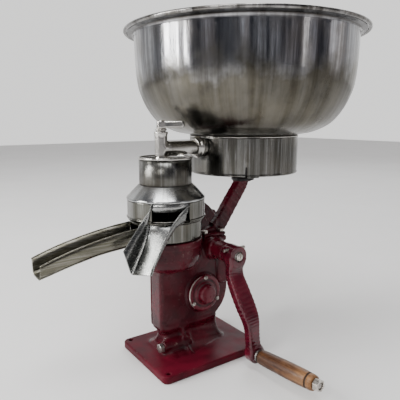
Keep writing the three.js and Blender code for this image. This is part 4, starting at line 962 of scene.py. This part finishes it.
# skirt: one sheet with a lap seam; the lap's end is left open at the bottom and hangs a little lower
SK_A = math.radians(-36.4)
sk_th = sorted([SK_A + math.radians(d) for d in ([-0.85, 0.85, 2.2, 12.0, 12.9] + list(np.arange(3.5, 11.9, 1.7)) + list(np.arange(14.5, 359.1, 1.85)))])
sk_z = [267.1, 268.2, 272, 277, 281.5, 290, 300, 310, 318, 322.5, 324.2]


def skirt_point(t, z):
    rel = math.degrees((t - SK_A) % (2 * math.pi))
    r = 86.2 + 0.85 * (z - 267.1) / 57.7
    if z < 268:
        r += 0.5
    lap = 0.75 if 0.5 < rel < 12.4 else 0.0
    if 0.5 < rel < 12.4:
        z = z - 1.5 * max(0.0, (281 - z) / 14.0)
    return (CANX + (r + lap) * math.cos(t), CANY + (r + lap) * math.sin(t), z)


# (stops short of the CAD box below by design of the real strip)
SKP = [[skirt_point(t, z) for z in sk_z] for t in sk_th]
pipe_az = math.atan2(-7.0 - CANY, 0.9 - CANX)


def skirt_hole(i, j):
    t = (sk_th[i] + sk_th[(i + 1) % len(sk_th)] + (2 * math.pi if i == len(sk_th) - 1 else 0)) / 2
    z = (sk_z[j] + sk_z[j + 1]) / 2
    if i == 0 and sk_z[j + 1] <= 281.6:
        return True
    dt = (t - pipe_az + math.pi) % (2 * math.pi) - math.pi
    return (dt * 86) ** 2 + (z - 310) ** 2 < 9.0 ** 2


grid_mesh("can_skirt_sheet", SKP, M_SKIRT, "can", ["can_skirt"], closed_u=True, drop=skirt_hole, thick=0.7, offset=0.0)
wire = [(CANX + 86.5 * math.cos(SK_A + math.radians(d)), CANY + 86.5 * math.sin(SK_A + math.radians(d)), 268.3) for d in np.linspace(1.2, 358.6, 190)]
tube("can_skirt_hem", wire, 0.95, M_SKIRT, "can", n=10)
solder = [(87.05 + 0.9 * math.cos(a), 324.6 + 0.9 * math.sin(a)) for a in [2 * math.pi * k / 10 for k in range(10)]]
lathe("can_skirt_solder", solder, M_TAP, "can", (), a=(CANX, CANY, 0), b=(CANX, CANY, 1), n=192)

TX, TY, PIPE = 0.9, -7.0, 310.0
pd = np.array([TX - CANX, TY - CANY])
PD = float(np.linalg.norm(pd))
pd = pd / PD
pipe_pt = lambda s, z=PIPE: (CANX + pd[0] * s, CANY + pd[1] * s, z)


def tap_body(X, Y, Z):
    s = (X - CANX) * pd[0] + (Y - CANY) * pd[1]
    c = -(X - CANX) * pd[1] + (Y - CANY) * pd[0]
    rp = np.sqrt(c * c + (Z - PIPE) ** 2)
    pipe = rbox2(rp - 8.6, abs(s - 86) - 8, 0.6)
    pipe = np.minimum(pipe, rbox2(rp - 10.2, abs(s - (94 + PD) / 2) - (PD - 94) / 2, 0.6))
    pipe = smin(pipe, rbox2(rp - 11.0, abs(s - (PD - 10.5)) - 2.0, 0.8), 1.0)
    R = np.sqrt((X - TX) ** 2 + (Y - TY) ** 2)
    ribs = 0.5 * (0.5 - 0.5 * np.cos(8 * np.arctan2(Y - TY, X - TX))) * np.clip((Z - 297) / 2, 0, 1) * np.clip((329 - Z) / 2, 0, 1)
    barrel = sd_poly(R + ribs, Z, [(-4, 288), (6.4, 288), (7.5, 291.6), (9.2, 296), (9.2, 330), (9.9, 330.8), (9.9, 333.6), (9.4, 334), (-4, 334)])
    d = smin(pipe, barrel, 3.0)
    d = smax(d, -(np.maximum(rp - 5, -(PD - s) - 0)), 0.4)
    bore = sd_poly(R, Z, [(-4, 280), (4, 280), (4, 303.4), (6.5, 303.5), (7.15, 340), (-4, 340)])
    return smax(d, -bore, 0.4)


sdf_mesh("tap_casting", tap_body, (-18, -17, 288), (12, 84, 334), 0.7, M_TAP, "can", ["tap_body"])


def flange_nut(X, Y, Z):
    R = np.sqrt(X * X + Y * Y)
    return sd_poly(R, Z, [(10.7, 0), (12.6, 0), (13, 0.5), (13, 7), (15.6, 7.3), (16, 7.9), (16, 11.6), (14.6, 13.2), (13.3, 14.2), (13, 17.3), (12.6, 18), (10.7, 18)])


sdf_mesh("tap_union_nut", flange_nut, (-16, -16, 0), (16, 16, 18), 0.7, M_TAP, "can", ["tap_flange_nut"], place=local(pipe_pt(88.4), pipe_pt(300)))

LEVER = math.radians(45)


def tap_key(X, Y, Z):
    x, y = X - TX, Y - TY
    R = np.sqrt(x * x + y * y)
    plug = sd_poly(R, Z, [(-4, 304), (6.1, 304), (6.75, 334.6), (6.75, 335.3), (8.6, 335.8), (8.6, 337.3), (4.6, 338.6), (4.3, 341), (-4, 341)])
    plug = smax(plug, -(np.maximum(np.sqrt((-(x) * pd[1] + y * pd[0]) ** 2 + (Z - PIPE) ** 2) - 3.8, -(-(x * pd[0] + y * pd[1])) - 9)), 0.2)
    u = x * math.cos(LEVER) + y * math.sin(LEVER)
    v = -x * math.sin(LEVER) + y * math.cos(LEVER)
    w = 3.0 + 0.4 * np.clip((u - 8) / 16, 0, 1)
    zu = 4.9 - 0.5 * np.clip((4 - u) / 6, 0, 1)
    lever = rbox2(rbox2(abs(u - 16.0) - 17.5, abs(Z - 343.9) - zu, 4.3), abs(v) - w, 1.6)
    boss = sd_poly(R, Z, [(-4, 338.4), (5.3, 338.4), (6.0, 339.8), (6.0, 347.6), (4.8, 349.4), (-4, 350)])
    return smin(smin(plug, boss, 0.8), lever, 2.2)


sdf_mesh("tap_handle", tap_key, (-9, -17, 304), (28, 20, 353.4), 0.6, M_TAP, "key", ["tap_key"])

# ---------------------------------------------------------------- pans, cover, float chamber
lathe("float_chamber_cup", sheet_loop([(3.3, 224), (3.3, 249), (5.6, 253.2), (6, 257.4), (27.4, 257.6), (29.4, 258.5), (29.8, 259.9), (36.6, 260.6), (37.4, 261.8), (37.4, 296.2)], 0.9)
      , M_CHAMBER, "cream_tinware", ["float_chamber"], n=128, hollow=lambda r, h: 0.8 if h < 262.5 else 0.0)
rim = [(37.75 + 1.0 * math.cos(2 * math.pi * k / 12), 297.9 + 1.45 * math.sin(2 * math.pi * k / 12)) for k in range(12)]
lathe("float_chamber_rim", rim, M_TAP, "cream_tinware", (), n=128)
# the hollow values paint a shadow on the cone's lower neck under its overhanging rim, and darken the top where it meets
# the float chamber
lathe("pan_cover_cone", sheet_loop([(30.2, 260.1), (37.4, 260.2), (38.6, 259.6), (54.2, 243.9), (55.2, 242.9), (55.35, 242.0), (55.0, 241.3), (53.6, 241.1), (53.2, 240.4), (53.1, 229.2)], 0.8)[::-1],
      M_CONE, "cream_tinware", ["pan_cover"], n=160, hollow=lambda r, h: 0.75 if (h > 259 and r < 39.3) else (0.35 if h < 241 else 0.0))
lathe("float_body", rounded([(0, 263.6), (20, 263.6), (27, 265.4), (28, 268.5), (27, 272), (20, 274), (4, 274.6), (3, 276.8), (2, 280), (0, 280)], [0, 1, 2, 2, 2, 1, 1, .5, .4, 0], 4), M_PAN, "regulator", ["float"], n=96)


def thetas(lo, hi, n_in, n_out):
    """Angles that fall exactly on the two sides of an opening from lo to hi (degrees)."""
    a = list(np.linspace(lo, hi, n_in + 1)[:-1]) + list(np.linspace(hi, lo + 360, n_out + 1)[:-1])
    return [math.radians(x) for x in a]


SK_HALF = math.degrees(math.asin(18.2 / 50.7))
sth = thetas(270 - SK_HALF + 0.9, 270 + SK_HALF + 0.9, 16, 150)
sk_prof = [(46.6, 186.0), (50.4, 186.2), (50.7, 186.8), (50.7, 188.4), (50.7, 190.6), (50.7, 196), (50.7, 202), (50.7, 207.4), (50.9, 208.6), (51.2, 209.6), (50.9, 210.8), (50.4, 211.2), (49.9, 210.8), (49.9, 209.6)]
SKG = [[(r * math.cos(t), r * math.sin(t), z) for r, z in sk_prof] for t in sth]
grid_mesh("skim_pan_wall", SKG, M_PAN, "skim_tinware", ["skim_pan"], closed_u=True, drop=lambda i, j: i < 16 and 4 <= j <= 6, thick=0.8, offset=1.0)
lathe("skim_pan_floor", sheet_loop([(50.0, 188.2), (44, 189.0), (33, 196.8), (21.6, 206.2), (20.6, 206.9), (20.3, 208)], -0.9), M_PAN, "skim_tinware", (), n=128)

# cream pan: flat-sided pan with two beads; its mouth is open to the rim
cth = thetas(-50.5, 5.0, 34, 150)
cr_prof = [(51.6, 212.4), (54.2, 212.9), (54.6, 213.8)] + [(54.5 + 1.25 * math.sin(math.pi * k / 6), 214.4 + 2.6 * k / 6) for k in range(7)] + [(54.5, 218), (54.5, 222), (54.5, 228), (54.5, 234), (54.5, 238.6), (54.7, 239.6), (54.5, 240.4), (53.9, 240.3)]
CRG = [[(r * math.cos(t), r * math.sin(t), z) for r, z in cr_prof] for t in cth]
grid_mesh("cream_pan_wall", CRG, M_PAN, "cream_tinware", ["cream_pan"], closed_u=True, drop=lambda i, j: i < 34 and 2 <= j, thick=0.8, offset=1.0)
lathe("cream_pan_floor", sheet_loop([(53.6, 214.6), (50.5, 215.6), (36, 220.4), (22, 225.4), (20.8, 226.4), (20.6, 229.3)], -0.9), M_PAN, "cream_tinware", (), n=128)

# ---------------------------------------------------------------- spouts
SKIM = [(-44, 188.0, 208.0), (-53, 184.8, 206.9), (-60, 182.3, 206.2), (-72, 180, 204.7), (-90, 178, 202), (-110, 175.2, 198.3), (-130, 171, 193.8), (-150, 166, 188.6), (-170, 160.6, 182.2), (-185, 156.6, 176.6)]
skim_rows = spline(SKIM, 6)


def skim_section(y, zf, zt):
    cx = -1 + (y + 50) * 0.037
    wf, wt = 30 + (y + 185) * 0.02, 40 + (y + 185) * 0.02
    pts = rounded([(-wt / 2, zt), (-wf / 2, zf), (wf / 2, zf), (wt / 2, zt)], [0, 4.5, 4.5, 0], 6, closed=False)
    # a little crown in the floor keeps the sheet from looking like plate
    out = []
    for a, z in pts:
        out.append((cx + a, y + (z - zf) * 0.02, z))
    dense = spline(out, 2)
    for p in dense:
        f = (p[0] - cx) / (wf / 2)
        p[2] += 0.35 * math.cos(math.pi * min(1, abs(f)) / 2) * math.sin(y * 0.11) * (1 if abs(f) < 1 else 0)
    return dense


SKS = [skim_section(*r) for r in skim_rows]
in_pan = lambda i, j: math.hypot((SKS[i][j][0] + SKS[i + 1][j + 1][0]) / 2, (SKS[i][j][1] + SKS[i + 1][j + 1][1]) / 2) < 51.0
grid_mesh("skim_trough", SKS, M_TROUGH, "skim_tinware", ["skim_spout"], drop=in_pan, thick=0.9, offset=0.0)
for side, sgn in ((0, -1), (-1, 1)):
    tube("skim_trough_hem_%s" % ("left" if side == 0 else "right"), [(p[side][0] + sgn * 0.3, p[side][1], p[side][2] - 0.5) for p in SKS if math.hypot(p[side][0], p[side][1]) > 51.4], 1.05, M_TROUGH, "skim_tinware", n=10)

DIR, SIDE = np.array([0.216, -0.976]) / math.hypot(0.216, 0.976), np.array([0.976, 0.216]) / math.hypot(0.976, 0.216)
CREAM = [
    (46, 25.2, 241.2, 46, 216, 0, 213.5, 0, 241), (50.8, 26.2, 238.8, 50.8, 214.0, 16, 212.5, 14, 233.5), (52.6, 25.4, 231.5, 52.6, 208.5, 25, 210.5, 21, 229.5), (56, 19.8, 222.5, 54.8, 200, 34, 206.5, 28, 224.5),
    (64, 17.4, 211.5, 62, 183, 50, 190, 42, 212), (74, 17.4, 201.5, 70, 169.5, 61, 176, 55, 195), (83, 17.4, 192, 76, 159, 68.5, 165, 66, 177.5), (91.5, 17.4, 183, 81.5, 150, 75, 155, 74, 162)]


def cream_section(r):
    lt, lc, ltz, lf, lfz, rf, rfz, rt, rtz = r
    q = [np.array([lt, lc, ltz]), np.array([lf, 19.0, lfz]), np.array([rf, 53.2, rfz]), np.array([rt, 54.7, rtz])]
    pts = rounded(q, [0, 5, 5, 0], 6, closed=False)
    out = []
    for s, c, z in pts:
        xy = DIR * s + SIDE * c
        out.append((xy[0], xy[1], z))
    return spline(out, 2)


CRS = [cream_section(r) for r in spline(CREAM, 7)]


def outside_pan(i, j):
    p = (np.array(CRS[i][j]) + np.array(CRS[i + 1][j + 1])) / 2
    return math.hypot(p[0], p[1]) < (55.2 if p[2] > 212.0 else 51.6)


grid_mesh("cream_lip", CRS, M_SPOUT, "cream_tinware", ["cream_spout"], drop=outside_pan, thick=0.9, offset=0.0)
for side, tag in ((0, "left"), (-1, "right")):
    pts = [tuple(s[side]) for s in CRS if math.hypot(s[side][0], s[side][1]) > 55.0]
    tube("cream_lip_hem_" + tag, pts, 0.95, M_SPOUT, "cream_tinware", n=10)

# ---------------------------------------------------------------- supply can's arm
ARM2 = [(-3, 88, 182, 24, 13), (-4, 97, 188, 24, 13), (-7, 108, 199, 24, 13), (-11.5, 127, 220, 24, 13), (-16, 146, 240, 23, 13), (-18.4, 154, 249, 22, 14), (-19, 156, 254, 20, 16)]


def can_arm(X, Y, Z):
    bar = chain(X, Y, Z, [tuple(r) for r in spline(ARM2, 2)], (0, -0.7, 0.7), 0.22, 2.0)
    foot = sd_box(X, Y, Z, -13, 14.1, 58, 98, 174.3, 179.5, 1.6)
    web = sd_prism(np.broadcast_to(sd_poly(Y[0], Z[0], [(58.5, 178), (97, 178), (97, 182), (90, 187), (76, 185.5), (60, 182.5)]), X.shape), X, -12.6, 2.4, 2.0)
    d = smin(foot, web, 3)
    d = smin(d, bar, 4)
    d = smin(d, sd_cyl(X, Y, Z, CANX, CANY, 19, 252, 257.6, 1.3), 3)
    d = smin(d, sd_cyl(X, Y, Z, CANX, CANY, 14, 250, 284, 1.0), 0.8)
    for y in (62, 92):
        d = smax(d, -sd_cyl(X, Y, Z, 8, y, 3.2, 160, 182), 0.4)
        d = smax(d, -sd_cyl(X, Y, Z, 8, y, 6.6, 179.5, 200), 0.6)
    return smax(d, -sd_cyl(X, Y, Z, CANX, CANY, 2.7, 268, 300), 0.3)


def arm_mats(V, faces):
    z = V[faces[:, 0], 2]
    return (z > 251.2).astype(int)


sdf_mesh("supply_arm", can_arm, (-39, 57, 174), (15, 178, 284.2), 1.1, [M_ENAMEL, M_BLACK], "stand", ["can_arm"], mat_fn=arm_mats, edge_wear_and_highlight_gain=0.8)
lathe("can_seat_plate", rounded([(14.4, 262), (20.5, 262), (20.5, 284.3), (60, 290.5), (76, 291.2), (76, 294), (2.7, 294), (2.7, 284.4), (14.4, 284.4)], [0.5, 0.8, 2, 2, 0.8, 0.8, 0.3, 0.3, 0.3], 4),
      M_BLACK, "stand", ["can_support_plate"], a=(CANX, CANY, 0), b=(CANX, CANY, 1), n=96)
slotted("can_seat_screw", (CANX, CANY, 294.1), (CANX, CANY, 400), 5.2, 2.0, 2.3, 18, "stand", "support_plate_screw", 0.4)

# ---------------------------------------------------------------- carried-over CAD pieces get their materials
record = frame["record"]
node_slot = {s["node"]: s["material_slot"] for s in record["subparts"]}
for o in bpy.data.objects:
    if o.type == "MESH" and o.name in node_slot:
        for s in o.material_slots:
            s.material = SLOT_MAT[node_slot[o.name]]

# ---------------------------------------------------------------- floor, light, camera
fl = bpy.data.meshes.new("bench")
S = 6.0
fl.from_pydata([(-S, -S, 0), (S, -S, 0), (S, S, 0), (-S, S, 0)], [], [(0, 1, 2, 3)])
floor = bpy.data.objects.new("bench", fl)
COLL.objects.link(floor)
fm, fnt, fb = new_mat("bench_pale")
fn = N(fnt)
fn.link(fn.mix(fn.remap(fn.noise(3, 4, 0.6), 0.3, 0.7, 0, 1), (0.84, 0.838, 0.832), (0.88, 0.878, 0.872)), fb.inputs["Base Color"])
fn.link(fn.remap(fn.noise(40, 4, 0.6), 0.3, 0.7, 0.55, 0.7), fb.inputs["Roughness"])
fl.materials.append(fm)


def area(name, loc, target, size, power, color=(1, 1, 1), size_y=None):
    L = bpy.data.lights.new(name, "AREA")
    L.shape = "RECTANGLE"
    L.size = size
    L.size_y = size_y or size
    L.energy = power
    L.color = color
    o = bpy.data.objects.new(name, L)
    COLL.objects.link(o)
    o.location = loc
    o.rotation_euler = (Vector(target) - Vector(loc)).to_track_quat("-Z", "Y").to_euler()
    return o


mid = (0.0, 0.08, 0.25)
area("window_left_1", (-1.15, -2.05, 1.25), mid, 0.20, 26, (1.0, 0.99, 0.97), 1.9)
area("window_left_2", (-0.75, -2.2, 1.25), mid, 0.34, 38, (1.0, 0.99, 0.97), 1.9)
area("window_left_3", (-0.2, -2.3, 1.25), mid, 0.14, 16, (1.0, 0.99, 0.97), 1.9)
area("window_front_1", (0.95, -1.9, 1.5), mid, 0.10, 9, (1.0, 0.98, 0.95), 1.1)
area("window_front_2", (1.45, -1.55, 1.6), mid, 0.12, 6, (1.0, 0.98, 0.95), 1.1)
area("strip_right", (2.2, 0.9, 1.1), mid, 0.14, 2.5, (1.0, 0.96, 0.92), 1.8)
area("back_fill", (-1.6, 1.9, 1.9), mid, 1.2, 14, (0.96, 0.98, 1.0), 1.0)
area("overhead", (0.35, -0.40, 2.6), mid, 1.5, 34, (1, 1, 1), 1.2)

# a pale room behind the object, a dimmer one in front of it
w = bpy.data.worlds.new("studio")
bpy.context.scene.world = w
w.use_nodes = True
wn = w.node_tree
wn.nodes.clear()
wo = wn.nodes.new("ShaderNodeOutputWorld")
bg = wn.nodes.new("ShaderNodeBackground")
tc = wn.nodes.new("ShaderNodeTexCoord")
vd = wn.nodes.new("ShaderNodeVectorMath")
vd.operation = "DOT_PRODUCT"
wn.links.new(tc.outputs["Generated"], vd.inputs[0])
vd.inputs[1].default_value = (-0.825, 0.566, 0.0)
rp = wn.nodes.new("ShaderNodeValToRGB")
stops = [(0.0, (0.10, 0.105, 0.115)), (0.36, (0.13, 0.13, 0.14)), (0.60, (0.34, 0.34, 0.34)), (0.86, (1.0, 0.995, 0.985))]
while len(rp.color_ramp.elements) < len(stops):
    rp.color_ramp.elements.new(0.5)
for k, (pos_, c_) in enumerate(stops):
    rp.color_ramp.elements[k].position = pos_
    rp.color_ramp.elements[k].color = (*c_, 1)
mr = wn.nodes.new("ShaderNodeMapRange")
for k, x in enumerate((-1, 1, 0, 1)):
    mr.inputs[k + 1].default_value = x
wn.links.new(vd.outputs["Value"], mr.inputs[0])
wn.links.new(mr.outputs[0], rp.inputs[0])
flat = wn.nodes.new("ShaderNodeVectorMath")
flat.operation = "MULTIPLY"
wn.links.new(tc.outputs["Generated"], flat.inputs[0])
flat.inputs[1].default_value = (1.0, 1.0, 0.10)
nz = wn.nodes.new("ShaderNodeTexNoise")
nz.inputs["Scale"].default_value = 5.5
nz.inputs["Detail"].default_value = 3.0
wn.links.new(flat.outputs[0], nz.inputs["Vector"])
bands = wn.nodes.new("ShaderNodeValToRGB")
bstops = [(0.40, (0.35, 0.37, 0.42)), (0.49, (0.9, 0.9, 0.95)), (0.56, (2.4, 2.1, 1.9)), (0.64, (4.6, 4.5, 4.4))]
while len(bands.color_ramp.elements) < len(bstops):
    bands.color_ramp.elements.new(0.5)
for k, (pos_, c_) in enumerate(bstops):
    bands.color_ramp.elements[k].position = pos_
    bands.color_ramp.elements[k].color = (*c_, 1)
wn.links.new(nz.outputs[0], bands.inputs[0])
mask = wn.nodes.new("ShaderNodeMapRange")
for k, x in enumerate((0.05, 0.45, 1, 0)):
    mask.inputs[k + 1].default_value = x
wn.links.new(vd.outputs["Value"], mask.inputs[0])
mul = wn.nodes.new("ShaderNodeMix")
mul.data_type = "RGBA"
mul.blend_type = "MULTIPLY"
wn.links.new(mask.outputs[0], mul.inputs[0])
wn.links.new(rp.outputs[0], mul.inputs[6])
wn.links.new(bands.outputs[0], mul.inputs[7])
wn.links.new(mul.outputs[2], bg.inputs[0])
bg.inputs[1].default_value = 1.25
wn.links.new(bg.outputs[0], wo.inputs[0])

az, roll = math.radians(55.56), math.radians(-0.16)
fwd = Vector((-0.81168, 0.55658, -0.17721)).normalized()
right = fwd.cross(Vector((0, 0, 1))).normalized()
up = right.cross(fwd).normalized()
R_ = right * math.cos(roll) + up * math.sin(roll)
U_ = -right * math.sin(roll) + up * math.cos(roll)
cam_data = bpy.data.cameras.new("camera")
cam_data.sensor_width = 36
cam_data.lens = 40.8
cam_data.clip_start = 0.01
cam_data.clip_end = 50
cam = bpy.data.objects.new("camera", cam_data)
COLL.objects.link(cam)
cam.matrix_world = Matrix(((R_.x, U_.x, -fwd.x, 0.5556), (R_.y, U_.y, -fwd.y, -0.3218), (R_.z, U_.z, -fwd.z, 0.3520), (0, 0, 0, 1)))
bpy.context.scene.camera = cam
